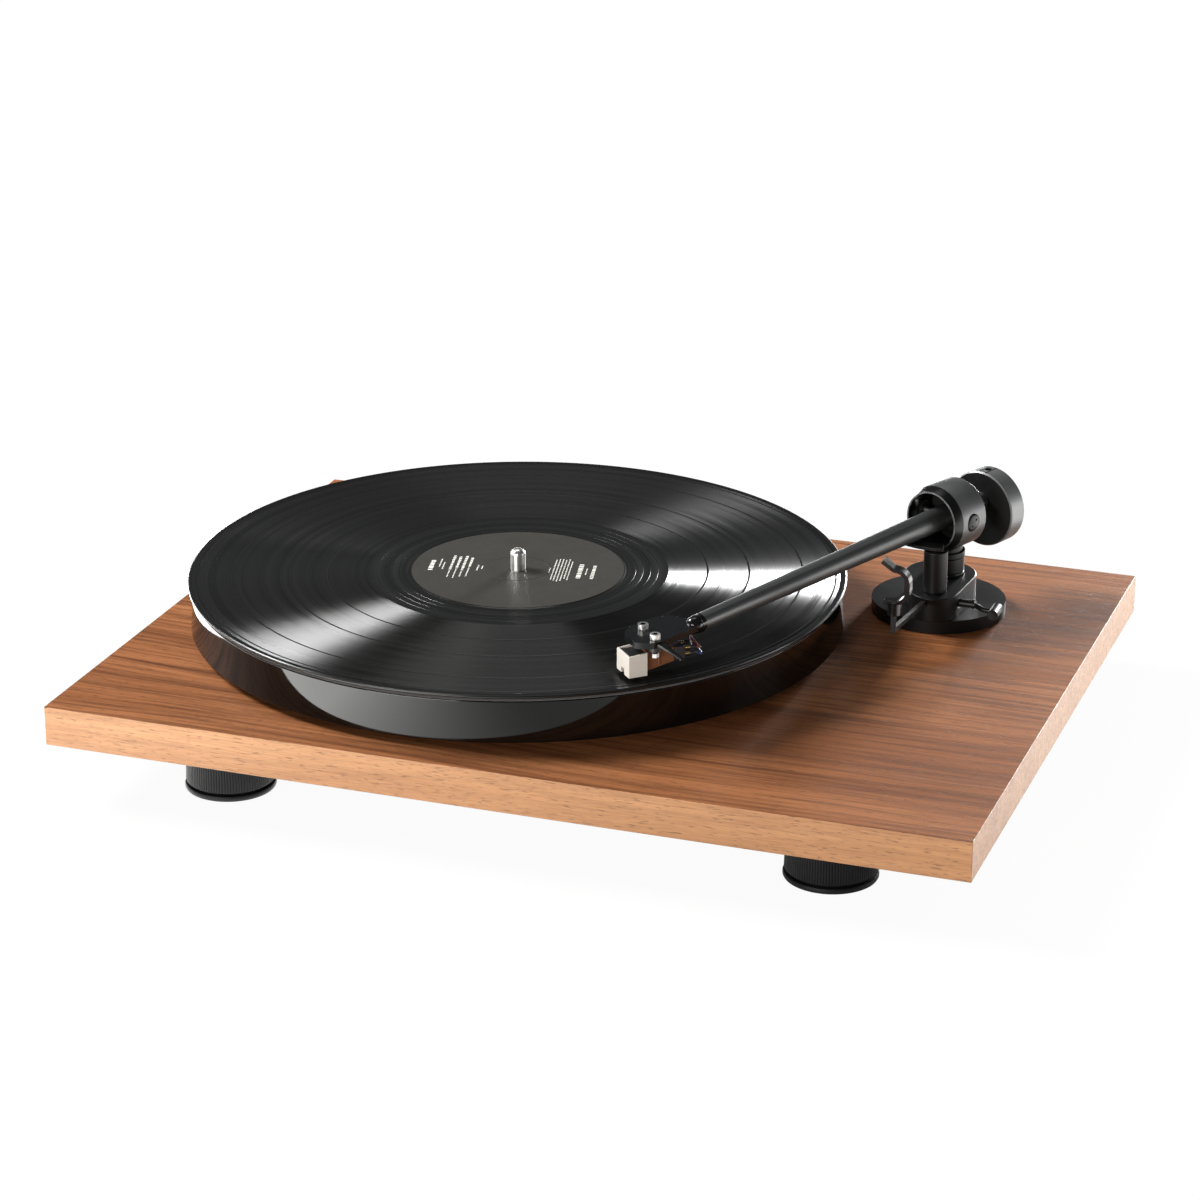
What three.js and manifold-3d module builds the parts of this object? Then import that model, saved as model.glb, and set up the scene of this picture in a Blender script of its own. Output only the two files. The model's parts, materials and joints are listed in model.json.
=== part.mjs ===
// A belt-drive turntable: wooden plinth, platter with a record, and a pivoted tonearm.
// Millimetres, +Z up. X runs along the plinth's length, the front is at -Y, and z = 0 is the
// surface that the feet stand on, under the plinth's centre. The arm is at rest on the record.
import * as THREE from "three";
import { mergeVertices } from "three/addons/utils/BufferGeometryUtils.js";
import Module from "manifold-3d";

const wasm = await Module();
wasm.setup();

// ---- driving dimensions ---------------------------------------------------------------------
const GAP = 0.3; // between two pieces that touch

const FOOT = { height: 25, pad: 2.7, padRadius: 20.3, radius: 19.8, topRadius: 19.1, x: 138, y: 119 };
const PLINTH = { length: 415, width: 317, thick: 18 };
const PLINTH_TOP = FOOT.height + PLINTH.thick;

const PLATTER = { x: -49.1, y: 6.3, radius: 150, bottom: PLINTH_TOP + 3.5, top: PLINTH_TOP + 22 };
const WEB_BOTTOM = PLATTER.top - 7.2; // underside of the platter's flat web
const RIM_INNER = 141; // inner radius of the platter's hanging rim
const MAT_TOP = PLATTER.top + 1.5;
const RECORD = { radius: 150.8, top: MAT_TOP + 2, grooves: MAT_TOP + 1.65, beadInner: 148.6 };
const SPINDLE = { radius: 3.55, shaftRadius: 5.05, bottom: 23.2, top: RECORD.top + 10 };
const SUB_PLATTER = { radius: 85.3, bottom: 50.5, top: WEB_BOTTOM - 0.2 };
const BEARING = { radius: 9, bore: 6.2, bottom: 15, flange: 16 };

const PULLEY = { distance: 110, angle: 150, radius: 9, bottom: 49, top: 57 };
const BELT = { clearance: GAP, thick: 0.8, bottom: 51.5, top: 55.5 };
const MOTOR = { radius: 17, bottom: 14.8, plateRadius: 26 };

const COVER = { x: [-168, -25], y: [-40, 90], z: [13, FOOT.height - 0.1], wall: 1.6 };
const NOTCH = { x: [-150, -60], depth: 12.5, top: 38 };
const JACK_Z = 31.5;
const SWITCH = { x: -95, y: -128, length: 24, width: 14, bottom: 19 };

const PIVOT = new THREE.Vector3(131.5, 87, PLINTH_TOP + 46); // where the arm's two axes cross
const REST_YAW = -23.4; // the tube's direction at rest, in degrees from -Y about +Z
const TUBE_DROP = 1.2; // the tube slopes down towards the record, in degrees
const ARM_DISC = { x: 130, y: 84, radius: 31, top: PLINTH_TOP + 6.5 };
const BLOCK = { rear: [130, 86, 16.5], front: [133.4, 62, 11], top: PLINTH_TOP + 18 };
const POST = { radius: 9.1, bore: 6, bottom: 27, top: PLINTH_TOP + 26.8 };
const RING = { radius: 15.75, bore: 13.2, front: -11.5, rear: 11.6 };
const TUBE = { rootRadius: 5.5, tipRadius: 4, bore: 3, length: 171, stubRadius: 4, stubEnd: 46 };
const WEIGHT = { radius: 18, front: 26, rear: 36.7, drop: 4.3 };
const LIFT = { x: 133.4, y: 62, columnTop: 80.9, barTop: 82.75, barInner: 21, barOuter: 28 };
const LEVER = { y: 65, z: PLINTH_TOP + 12.5, shaft: 1.8, rod: 1.1, grip: 2.5, gripX: 162 };
const REST = { x: 133, y: -7, z: 87, bore: 5.1, wall: 1.8, depth: 5, rise: 3.1 };

const SHELL = { x: 48, y: -92.45, yaw: -47.2, top: PLINTH_TOP + 43.5, thick: 2.8 };
const SCREW = { spacing: 12.7, radius: 1.1, head: 2.35, headHeight: 2.4 };
const STYLUS = { front: 12.2, rear: 3.5, bottom: PLINTH_TOP + 27.3, top: PLINTH_TOP + 37.8 };

// ---- materials ------------------------------------------------------------------------------
const finish = (color, roughness, metalness = 0) => ({ color, roughness, metalness });
const WALNUT = finish(0x6b4228, 0.45);
const BLACK_GLOSS = finish(0x0b0b0c, 0.12);
const BLACK_SATIN = finish(0x141415, 0.42, 0.3);
const BLACK_RUBBER = finish(0x101010, 0.8);
const VINYL = finish(0x0d0d0e, 0.22);
const FELT = finish(0x1c1c1c, 0.95);
const GREY_SATIN = finish(0x4a4c4e, 0.38, 0.6);
const STEEL = finish(0xb9bbbd, 0.22, 1);
const BRASS = finish(0xb08d4a, 0.3, 1);
const WHITE = finish(0xe9e4dd, 0.4);
const COPPER_BROWN = finish(0x7a4425, 0.35, 0.2);
const BOARD_GREEN = finish(0x1d5a34, 0.5);

// ---- helpers --------------------------------------------------------------------------------
const rad = THREE.MathUtils.degToRad;
const vec = (x, y, z) => new THREE.Vector3(x, y, z);

// A closed three.js geometry as a solid, with its faces turned outwards.
function solid(geometry) {
  const bare = geometry.index ? geometry.toNonIndexed() : geometry.clone();
  bare.deleteAttribute("normal");
  bare.deleteAttribute("uv");
  const merged = mergeVertices(bare, 1e-4);
  const corners = [];
  for (let i = 0; i < merged.index.count; i += 3) {
    const [a, b, c] = [0, 1, 2].map((k) => merged.index.getX(i + k));
    if (a !== b && b !== c && a !== c) corners.push(a, b, c);
  }
  const build = (triVerts) =>
    new wasm.Manifold(
      new wasm.Mesh({ numProp: 3, vertProperties: merged.attributes.position.array, triVerts }),
    );
  const made = build(new Uint32Array(corners));
  return made.volume() > 0 ? made : build(new Uint32Array(corners.reverse()));
}

// A named mesh of one solid, with a material of its own.
function piece(name, made, look) {
  const out = made.getMesh();
  const geometry = new THREE.BufferGeometry();
  geometry.setAttribute("position", new THREE.BufferAttribute(out.vertProperties, 3));
  geometry.setIndex(new THREE.BufferAttribute(out.triVerts, 1));
  geometry.computeVertexNormals();
  const mesh = new THREE.Mesh(geometry, new THREE.MeshStandardMaterial(look));
  mesh.name = name;
  return mesh;
}

// A profile of [radius, height] pairs turned about +Z, or about another axis through the origin.
function turned(profile, sides = 24, axis = "z") {
  const points = profile.map(([r, h]) => new THREE.Vector2(r, h));
  const closes = profile[0][0] > 0;
  if (closes) points.push(points[0].clone());
  const geometry = new THREE.LatheGeometry(points, sides);
  if (axis === "z") geometry.rotateX(Math.PI / 2);
  if (axis === "x") geometry.rotateZ(-Math.PI / 2);
  return solid(geometry);
}

const disc = (r, low, high, sides = 24, axis = "z") =>
  turned([[0, low], [r, low], [r, high], [0, high]], sides, axis);

const ring = (inner, outer, low, high, sides = 24, axis = "z") =>
  turned([[inner, low], [outer, low], [outer, high], [inner, high]], sides, axis);

function box([x0, x1], [y0, y1], [z0, z1]) {
  const geometry = new THREE.BoxGeometry(x1 - x0, y1 - y0, z1 - z0);
  return solid(geometry.translate((x0 + x1) / 2, (y0 + y1) / 2, (z0 + z1) / 2));
}

// A flat outline in X and Y raised from one height to another.
function raised(shape, low, high, curveSegments = 12) {
  const options = { depth: high - low, bevelEnabled: false, curveSegments };
  return solid(new THREE.ExtrudeGeometry(shape, options).translate(0, 0, low));
}

// A round rod along a smooth curve through the points.
function rod(points, radius, steps = 12, sides = 8) {
  const section = new THREE.Shape();
  section.absarc(0, 0, radius, 0, 2 * Math.PI);
  const extrudePath = new THREE.CatmullRomCurve3(points);
  const options = { extrudePath, steps, curveSegments: sides, bevelEnabled: false };
  return solid(new THREE.ExtrudeGeometry(section, options));
}

// A block with six flat faces: corner(right, rear, up) gives the place of each of its corners.
function block6(corner) {
  const geometry = new THREE.BoxGeometry(1, 1, 1);
  const position = geometry.attributes.position;
  for (let i = 0; i < position.count; i++) {
    const [right, rear, up] = [position.getX(i) > 0, position.getY(i) > 0, position.getZ(i) > 0];
    position.setXYZ(i, ...corner(right, rear, up));
  }
  return solid(geometry);
}

// The outline of a band round two circles: [x, y, radius] each, the larger one first.
function twoCircleOutline([ax, ay, ar], [bx, by, br]) {
  const along = Math.atan2(by - ay, bx - ax);
  const spread = Math.acos((ar - br) / Math.hypot(bx - ax, by - ay));
  const shape = new THREE.Shape();
  shape.absarc(ax, ay, ar, along + spread, along - spread + 2 * Math.PI, false);
  shape.absarc(bx, by, br, along - spread, along + spread, false);
  shape.closePath();
  return shape;
}

// A strip of constant thickness along a list of [x, y] points.
function stripOutline(points, thick) {
  const side = (sign) =>
    points.map(([x, y], i) => {
      const [px, py] = points[Math.max(i - 1, 0)];
      const [nx, ny] = points[Math.min(i + 1, points.length - 1)];
      const length = Math.hypot(nx - px, ny - py);
      const reach = (sign * thick) / 2 / length;
      return new THREE.Vector2(x - (ny - py) * reach, y + (nx - px) * reach);
    });
  return new THREE.Shape([...side(1), ...side(-1).reverse()]);
}

const arc = (cx, cy, r, from, to, count) =>
  Array.from({ length: count + 1 }, (_, i) => {
    const angle = rad(from + ((to - from) * i) / count);
    return [cx + r * Math.cos(angle), cy + r * Math.sin(angle)];
  });

// ---- plinth and feet ------------------------------------------------------------------------
const motorAt = [
  PLATTER.x + PULLEY.distance * Math.cos(rad(PULLEY.angle)),
  PLATTER.y + PULLEY.distance * Math.sin(rad(PULLEY.angle)),
];

function makePlinth() {
  const [x, y] = [PLINTH.length / 2, PLINTH.width / 2];
  const slab = box([-x, x], [-y, y], [FOOT.height, PLINTH_TOP]);
  const through = (r, cx, cy) => disc(r, FOOT.height - 5, PLINTH_TOP + 5, 40).translate(cx, cy, 0);
  const notch = box(NOTCH.x, [y - NOTCH.depth, y + 5], [FOOT.height - 5, NOTCH.top]);
  const made = slab
    .subtract(through(BEARING.radius + GAP, PLATTER.x, PLATTER.y))
    .subtract(through(MOTOR.radius + 1, ...motorAt))
    .subtract(through(POST.radius + GAP, PIVOT.x, PIVOT.y))
    .subtract(notch);
  return [piece("plinth", made, WALNUT)];
}

function makeFeet() {
  const { pad, padRadius, radius, topRadius, height, x, y } = FOOT;
  const made = [];
  for (const [front, sy] of [["front", -1], ["rear", 1]]) {
    for (const [side, sx] of [["left", -1], ["right", 1]]) {
      const barrel = turned([[0, pad + 0.1], [radius, pad + 0.1], [topRadius, height - 0.1], [0, height - 0.1]], 24);
      const sole = turned([[0, 0], [padRadius - 0.7, 0], [padRadius, 0.6], [padRadius, pad], [0, pad]], 24);
      const place = (node) => {
        node.position.set(sx * x, sy * y, 0);
        return node;
      };
      made.push(place(piece(`foot_${front}_${side}`, barrel, BLACK_RUBBER)));
      made.push(place(piece(`foot_pad_${front}_${side}`, sole, BLACK_RUBBER)));
    }
  }
  return made;
}

// ---- platter, bearing and record ------------------------------------------------------------
function makePlatter() {
  const { radius, bottom, top } = PLATTER;
  const hole = SPINDLE.radius + 0.25;
  const platter = turned(
    [
      [hole, WEB_BOTTOM],
      [RIM_INNER, WEB_BOTTOM],
      [RIM_INNER, bottom],
      [radius - 0.5, bottom],
      [radius, bottom + 0.5],
      [radius, top - 0.6],
      [radius - 0.6, top],
      [hole, top],
    ],
    72,
  );
  const record = turned(
    [
      [SPINDLE.radius + 0.1, MAT_TOP + 0.1],
      [RECORD.beadInner, MAT_TOP + 0.1],
      [RECORD.radius, MAT_TOP + 0.7],
      [RECORD.radius, RECORD.top - 0.5],
      [RECORD.radius - 0.6, RECORD.top],
      [RECORD.beadInner, RECORD.top],
      [RECORD.beadInner - 2, RECORD.grooves],
      [SPINDLE.radius + 0.1, RECORD.grooves],
    ],
    72,
  );
  const mat = ring(hole, 148.8, top + 0.1, MAT_TOP, 48);
  return [
    piece("platter", platter, BLACK_GLOSS),
    piece("platter_mat", mat, FELT),
    piece("record", record, VINYL),
  ];
}

function makeDrive() {
  const { radius, shaftRadius, bottom, top } = SPINDLE;
  const dome = [0, 30, 60, 90].map((angle) => [radius * Math.cos(rad(angle)), top - 2 + 2 * Math.sin(rad(angle))]);
  const shaft = turned([
    [0, bottom],
    [shaftRadius, bottom],
    [shaftRadius, SUB_PLATTER.top - 0.4],
    [radius, SUB_PLATTER.top],
    ...dome.slice(0, 3),
    [0, top],
  ]);
  const subPlatter = turned(
    [
      [shaftRadius + 0.15, 47.5],
      [18, 47.5],
      [18, SUB_PLATTER.bottom],
      [SUB_PLATTER.radius, SUB_PLATTER.bottom],
      [SUB_PLATTER.radius, SUB_PLATTER.top],
      [shaftRadius + 0.15, SUB_PLATTER.top],
    ],
    40,
  );
  return [piece("platter_shaft", shaft, STEEL), piece("sub_platter", subPlatter, BLACK_SATIN)];
}

function makeBearing() {
  const { radius, bore, bottom, flange } = BEARING;
  const floor = bottom + 2;
  const seat = PLINTH_TOP + 0.1;
  const housing = turned([
    [0, bottom],
    [radius, bottom],
    [radius, seat],
    [flange, seat],
    [flange, seat + 2.2],
    [bore, seat + 2.2],
    [bore, floor],
    [0, floor],
  ]);
  const bush = ring(SPINDLE.shaftRadius + 0.05, bore - 0.1, 24, PLINTH_TOP + 1.8);
  const ball = solid(new THREE.SphereGeometry(3, 12, 8).translate(0, 0, floor + 3.05));
  return [
    piece("bearing_housing", housing, STEEL),
    piece("bearing_bush", bush, BRASS),
    piece("thrust_ball", ball, STEEL),
  ];
}

// ---- belt drive and electrics ---------------------------------------------------------------
function makeMotor() {
  const { radius, bottom, plateRadius } = MOTOR;
  const body = turned([[0, bottom], [radius, bottom], [radius, 42.6], [1.15, 42.6], [1.15, 35], [0, 35]]);
  const plate = ring(5, plateRadius, PLINTH_TOP + 0.1, PLINTH_TOP + 1.7);
  const { bottom: low, top: high } = PULLEY;
  const pulley = turned([
    [1.15, low],
    [PULLEY.radius + 1, low],
    [PULLEY.radius + 1, low + 1],
    [PULLEY.radius, low + 1.6],
    [PULLEY.radius, high - 0.6],
    [PULLEY.radius + 1, high],
    [1.15, high],
  ]);
  const shaft = disc(1, 36, high + 0.2, 16);
  return [
    piece("motor_body", body, STEEL),
    piece("motor_plate", plate, STEEL),
    piece("pulley", pulley, BRASS),
    piece("motor_shaft", shaft, STEEL),
  ];
}

function makeBelt() {
  const grow = BELT.clearance;
  const around = (extra) =>
    twoCircleOutline(
      [PLATTER.x, PLATTER.y, SUB_PLATTER.radius + grow + extra],
      [...motorAt, PULLEY.radius + grow + extra],
    );
  const outer = raised(around(BELT.thick), BELT.bottom, BELT.top, 20);
  const inner = raised(around(0), BELT.bottom - 1, BELT.top + 1, 20);
  return [piece("belt", outer.subtract(inner), BLACK_RUBBER)];
}

function makeUnderside() {
  const { x, y, z, wall } = COVER;
  const inside = (range) => [range[0] + wall, range[1] - wall];
  const hollow = box(inside(x), inside(y), [z[0] + wall, z[1] + 5]);
  const cover = box(x, y, z).subtract(hollow);
  const board = box([x[0] + 8, x[0] + 68], [y[0] + 8, y[0] + 63], [18, 19.6]);
  const nut = ring(POST.radius + 0.2, 11.6, 20.5, FOOT.height - 0.2, 24).translate(PIVOT.x, PIVOT.y, 0);
  return [
    piece("base_cover", cover, BLACK_SATIN),
    piece("control_board", board, BOARD_GREEN),
    piece("arm_post_nut", nut, STEEL),
  ];
}

function makeConnectors() {
  const wall = PLINTH.width / 2 - NOTCH.depth + 0.5; // front face of the connector plate
  const span = [NOTCH.x[0] + 0.5, NOTCH.x[1] - 0.5];
  const plate = box(span, [wall, wall + 1.5], [FOOT.height + GAP, NOTCH.top - GAP]);
  const face = wall + 1.5 + GAP;
  const jack = (x) => {
    const barrel = turned([[0, 0], [4.6, 0], [4.6, 8.5], [1.7, 8.5], [1.7, 1.5], [0, 1.5]], 24);
    return barrel.rotate([-90, 0, 0]).translate(x, face, JACK_Z);
  };
  const post = disc(3, 0, 7.5, 12).rotate([-90, 0, 0]).translate(-110, face, JACK_Z);
  const socket = disc(2.95, 1.5, 20, 24).rotate([-90, 0, 0]).translate(-135, face, JACK_Z);
  const inlet = box([-140.5, -129.5], [face, face + 8.5], [JACK_Z - 5, JACK_Z + 5]).subtract(socket);
  return [
    piece("connector_plate", plate, BLACK_SATIN),
    piece("rca_jack_left", jack(-75), STEEL),
    piece("rca_jack_right", jack(-92), STEEL),
    piece("ground_post", post, BRASS),
    piece("dc_inlet", inlet, BLACK_RUBBER),
  ];
}

function makeSwitch() {
  const { x, y, length, width, bottom } = SWITCH;
  const frame = (l, w, low, high) => box([x - l / 2, x + l / 2], [y - w / 2, y + w / 2], [low, high]);
  const bezel = frame(length, width, bottom, FOOT.height - 0.2).subtract(frame(18, 9, 0, 40));
  const outline = new THREE.Shape([
    new THREE.Vector2(-8, 23),
    new THREE.Vector2(-8.2, 18.6),
    new THREE.Vector2(0, 20.2),
    new THREE.Vector2(8.2, 18.6),
    new THREE.Vector2(8, 23),
  ]);
  const rocker = raised(outline, -4.2, 4.2).rotate([90, 0, 0]).translate(x, y, 0);
  return [piece("switch_bezel", bezel, BLACK_SATIN), piece("power_rocker", rocker, BLACK_GLOSS)];
}

// ---- tonearm base ---------------------------------------------------------------------------
function makeArmBase() {
  const { x, y, radius, top } = ARM_DISC;
  const low = PLINTH_TOP + 0.05;
  const bore = disc(POST.radius + 0.2, low - 5, BLOCK.top + 5).translate(PIVOT.x, PIVOT.y, 0);
  const plate = turned([[0, low], [radius, low], [radius, top - 0.8], [radius - 0.8, top], [0, top]], 40)
    .translate(x, y, 0)
    .subtract(bore);
  const leverBore = disc(LEVER.shaft + 0.2, -9, 20, 16, "x").translate(LIFT.x + 12, LEVER.y, LEVER.z);
  const block = raised(twoCircleOutline(BLOCK.rear, BLOCK.front), top + 0.05, BLOCK.top, 16)
    .subtract(bore)
    .subtract(leverBore);
  const post = ring(POST.bore, POST.radius, POST.bottom, POST.top).translate(PIVOT.x, PIVOT.y, 0);
  const race = (z) => ring(2.7, POST.bore - 0.15, z, z + 5, 24).translate(PIVOT.x, PIVOT.y, 0);
  const column = ring(2.7, 5.5, BLOCK.top + 0.1, LIFT.columnTop, 24).translate(LIFT.x, LIFT.y, 0);
  return [
    piece("arm_base_disc", plate, BLACK_SATIN),
    piece("arm_base_block", block, BLACK_SATIN),
    piece("arm_post", post, BLACK_SATIN),
    piece("yaw_bearing_upper", race(POST.top - 8), STEEL),
    piece("yaw_bearing_lower", race(POST.bottom + 3), STEEL),
    piece("lift_column", column, BLACK_SATIN),
  ];
}

function makeArmRest() {
  const { x, y, z, bore, wall, depth, rise } = REST;
  const middle = bore + wall / 2;
  const flare = rad(148);
  const lipStart = [0, rise + middle];
  const lipEnd = [7 * Math.cos(flare), lipStart[1] + 7 * Math.sin(flare)];
  const outline = stripOutline(
    [[-4.6, -middle - 0.3], ...arc(0, 0, middle, 270, 360, 8), ...arc(0, rise, middle, 0, 90, 8), lipEnd],
    wall,
  );
  const hook = raised(outline, -depth / 2, depth / 2).rotate([90, 0, 0]).translate(x, y, z);
  const neckTop = z - bore - wall / 2;
  const neck = disc(3, 75, neckTop, 16).translate(x - 0.4, y, 0);
  const stemX = x - 0.6;
  const barStart = vec(131.2, LIFT.y - BLOCK.front[2] - GAP, 58.6);
  const elbow = vec(stemX, y, 67.4);
  const section = new THREE.Shape([
    new THREE.Vector2(-1, -1.1),
    new THREE.Vector2(1, -1.1),
    new THREE.Vector2(1, 1.1),
    new THREE.Vector2(-1, 1.1),
  ]);
  const extrudePath = new THREE.LineCurve3(barStart, elbow);
  const bar = solid(new THREE.ExtrudeGeometry(section, { extrudePath, steps: 1, bevelEnabled: false }));
  const stem = box([stemX - 1, stemX + 1], [y - 1, y + 1.2], [66.3, 74.7]);
  return [
    piece("arm_rest_bracket", bar.add(stem), BLACK_SATIN),
    piece("arm_rest_clip", hook.add(neck), BLACK_SATIN),
  ];
}

// The bar under the tube, an arc about the arm's upright axis, on a stem in the lift column.
function makeLiftBar() {
  const { barInner, barOuter, barTop, columnTop } = LIFT;
  const sector = new THREE.Shape();
  const [from, to] = [rad(-90 - 55), rad(-90 + 12)];
  sector.absarc(0, 0, barOuter, from, to, false);
  sector.absarc(0, 0, barInner, to, from, true);
  sector.closePath();
  const bar = raised(sector, columnTop + 0.15, barTop, 12).translate(PIVOT.x, PIVOT.y, 0);
  const stem = disc(2.55, BLOCK.top + 3, barTop - 0.5, 16).translate(LIFT.x, LIFT.y, 0);
  return [piece("lift_bar", bar.add(stem), BLACK_SATIN)];
}

function makeLever() {
  const { y, z, shaft, rod: rodRadius, grip, gripX } = LEVER;
  const axle = disc(shaft, -7, 6.5, 16, "x").translate(LIFT.x + 12, y, z);
  const bend = [vec(149.5, y, z), vec(153, y - 1.6, z - 0.3), vec(157, y - 3.6, z - 0.8), vec(gripX - 1, y - 3.5, z - 1)];
  const crank = rod(bend, rodRadius, 10, 8);
  const handle = disc(grip, -5, 5, 20).rotate([-90, 0, 0]).translate(gripX, y - 3.5, z - 1);
  return [piece("lift_lever", axle.add(crank).add(handle), BLACK_SATIN)];
}

// ---- moving arm: pieces that only swing -----------------------------------------------------
function makeYoke() {
  const level = PIVOT.z;
  const { radius, bore, front, rear } = RING;
  const barrel = turned(
    [
      [bore, front],
      [bore + 0.8, front],
      [radius, front + 4.1],
      [radius, rear - 2.4],
      [bore + 1, rear],
      [bore, rear],
    ],
    36,
  ).rotate([-90, 0, 0]);
  const capHole = disc(4.15, -20, 20, 24, "x");
  const housing = barrel.subtract(capHole);
  const saddleTop = disc(radius + GAP, -20, 20, 36).rotate([-90, 0, 0]);
  const flangeLow = POST.top + 0.4 - level;
  const yoke = disc(9.5, flangeLow, flangeLow + 2.4, 24)
    .add(disc(8, flangeLow + 1, flangeLow + 7, 24))
    .subtract(saddleTop);
  const spindle = disc(2.6, POST.bottom + 1 - level, flangeLow - GAP, 24);
  const spannerHole = (sy) => disc(0.5, 15.6, 18, 8, "x").translate(0, sy * 1.9, 0);
  const cap = turned([[0, 14.2], [1.35, 14.2], [1.35, 12.2], [4, 12.2], [4, 15.9], [3.6, 16.3], [0, 16.3]], 24, "x")
    .subtract(spannerHole(1))
    .subtract(spannerHole(-1));
  return [
    piece("yaw_spindle", spindle, STEEL),
    piece("arm_yoke", yoke, BLACK_SATIN),
    piece("bearing_ring", housing, GREY_SATIN),
    piece("pivot_cap_right", cap, BLACK_SATIN),
    piece("pivot_cap_left", cap.rotate([0, 0, 180]), BLACK_SATIN),
  ];
}

// ---- moving arm: pieces that also tilt ------------------------------------------------------
function makeTube() {
  const { rootRadius, tipRadius, bore, length, stubRadius, stubEnd } = TUBE;
  const tube = turned(
    [
      [bore, -length],
      [tipRadius, -length],
      [rootRadius, -12],
      [rootRadius, 12],
      [stubRadius, 13.5],
      [stubRadius, stubEnd],
      [bore - 0.4, stubEnd],
      [bore - 0.4, 12],
      [bore, 12],
    ],
    24,
  )
    .rotate([-90, 0, 0])
    .subtract(disc(1.35, -10, 10, 16, "x"));
  const axle = disc(1.2, -13.9, 13.9, 16, "x");
  const collar = ring(bore, tipRadius + 0.15, -length - 2.6, -length - GAP, 24).rotate([-90, 0, 0]);
  return [
    piece("arm_tube", tube, BLACK_SATIN),
    piece("pivot_axle", axle, STEEL),
    piece("tube_collar", collar, BLACK_GLOSS),
  ];
}

function makeCounterweight() {
  const { radius, front, rear, drop } = WEIGHT;
  const body = turned([
    [0, front],
    [radius - 0.5, front],
    [radius, front + 0.5],
    [radius, rear - 0.8],
    [radius - 0.8, rear],
    [0, rear],
  ], 36);
  const bore = disc(TUBE.stubRadius + 0.15, front - 5, rear + 5, 20).rotate([-90, 0, 0]);
  const weight = body.rotate([-90, 0, 0]).translate(0, 0, -drop).subtract(bore);
  return [piece("counterweight", weight, GREY_SATIN)];
}

// ---- headshell and cartridge: x towards the finger lift, front of the cartridge at -y ---------
function shellOutline() {
  const shape = new THREE.Shape();
  shape.moveTo(-1.4, 24.6);
  shape.lineTo(9.4, 3.4);
  shape.lineTo(10.3, -1.3);
  shape.quadraticCurveTo(10.2, -6, 6.5, -9.6);
  shape.lineTo(-5, -9.2);
  shape.quadraticCurveTo(-10, -7, -13, 1);
  shape.quadraticCurveTo(-17.4, 9, -16.6, 15.5);
  shape.quadraticCurveTo(-15.5, 19.6, -8.1, 21.4);
  shape.closePath();
  return shape;
}

function makeHeadshell(neck) {
  const { top, thick } = SHELL;
  const hole = (sx) => disc(SCREW.radius + 0.25, top - 10, top + 10, 16).translate((sx * SCREW.spacing) / 2, 0, 0);
  const plate = raised(shellOutline(), top - thick, top, 6)
    .add(neck)
    .subtract(hole(1))
    .subtract(hole(-1));
  const lift = block6((tip, rear, up) => {
    const x = tip ? 21.4 : 10.7;
    const rootY = rear ? 3.1 : -1;
    const tipY = rear ? 6.9 : 5.2;
    const z = tip ? top - 4.6 : top - 0.6;
    return [x, tip ? tipY : rootY, up ? z : z - 1.5];
  });
  return [
    piece("headshell", plate, BLACK_GLOSS),
    piece("finger_lift", lift, BLACK_GLOSS),
  ];
}

function makeCartridge() {
  const under = SHELL.top - SHELL.thick;
  const half = SCREW.spacing / 2;
  const hole = (sx) => disc(SCREW.radius + 0.25, under - 10, under + 5, 16).translate(sx * half, 0, 0);
  const ears = new THREE.Shape();
  ears.absarc(half, 0, 2.4, -Math.PI / 2, Math.PI / 2);
  ears.absarc(-half, 0, 2.4, Math.PI / 2, (3 * Math.PI) / 2);
  ears.closePath();
  const mount = raised(ears, under - 3, under - GAP, 8).subtract(hole(1)).subtract(hole(-1));
  const body = block6((right, rear, up) => {
    const x = rear ? 4.2 : 4.9;
    const low = rear ? PLINTH_TOP + 31 : PLINTH_TOP + 28.6;
    return [right ? x : -x, rear ? 10 : -STYLUS.rear + GAP, up ? under - 3 - GAP : low];
  });
  const pins = box([-4.4, 4.4], [10 + GAP, 15], [PLINTH_TOP + 31.6, under - 3 - GAP]);
  const stylus = block6((right, rear, up) => {
    const top = rear ? STYLUS.top : STYLUS.top - 0.9;
    return [right ? 6.7 : -6.3, rear ? -STYLUS.rear : -STYLUS.front, up ? top : STYLUS.bottom];
  }).subtract(box([-1.6, 1.6], [-20, -6], [STYLUS.bottom - 5, STYLUS.bottom + 2.6]));
  const cantilever = rod([vec(0, -6.8, STYLUS.bottom + 1.9), vec(0, -9.8, STYLUS.bottom - 1.25)], 0.35, 1, 8);
  const screw = (sx) =>
    disc(SCREW.radius, under - 6, SHELL.top + 1, 16)
      .add(disc(SCREW.head, SHELL.top + 0.1, SHELL.top + SCREW.headHeight, 20))
      .subtract(disc(1.2, SHELL.top + 1.1, SHELL.top + 5, 6))
      .translate(sx * half, 0, 0);
  return [
    piece("cartridge_mount", mount, BLACK_GLOSS),
    piece("cartridge_body", body, COPPER_BROWN),
    piece("terminal_block", pins, BLACK_SATIN),
    piece("stylus_block", stylus, WHITE),
    piece("stylus_cantilever", cantilever, STEEL),
    piece("cartridge_screw_left", screw(-1), STEEL),
    piece("cartridge_screw_right", screw(1), STEEL),
  ];
}

// ---- the whole object -----------------------------------------------------------------------
function group(children, place = vec(0, 0, 0), turnZ = 0, turnX = 0) {
  const made = new THREE.Group();
  made.add(...children);
  made.position.copy(place);
  made.rotation.set(rad(turnX), 0, rad(turnZ), "ZXY");
  return made;
}

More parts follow.
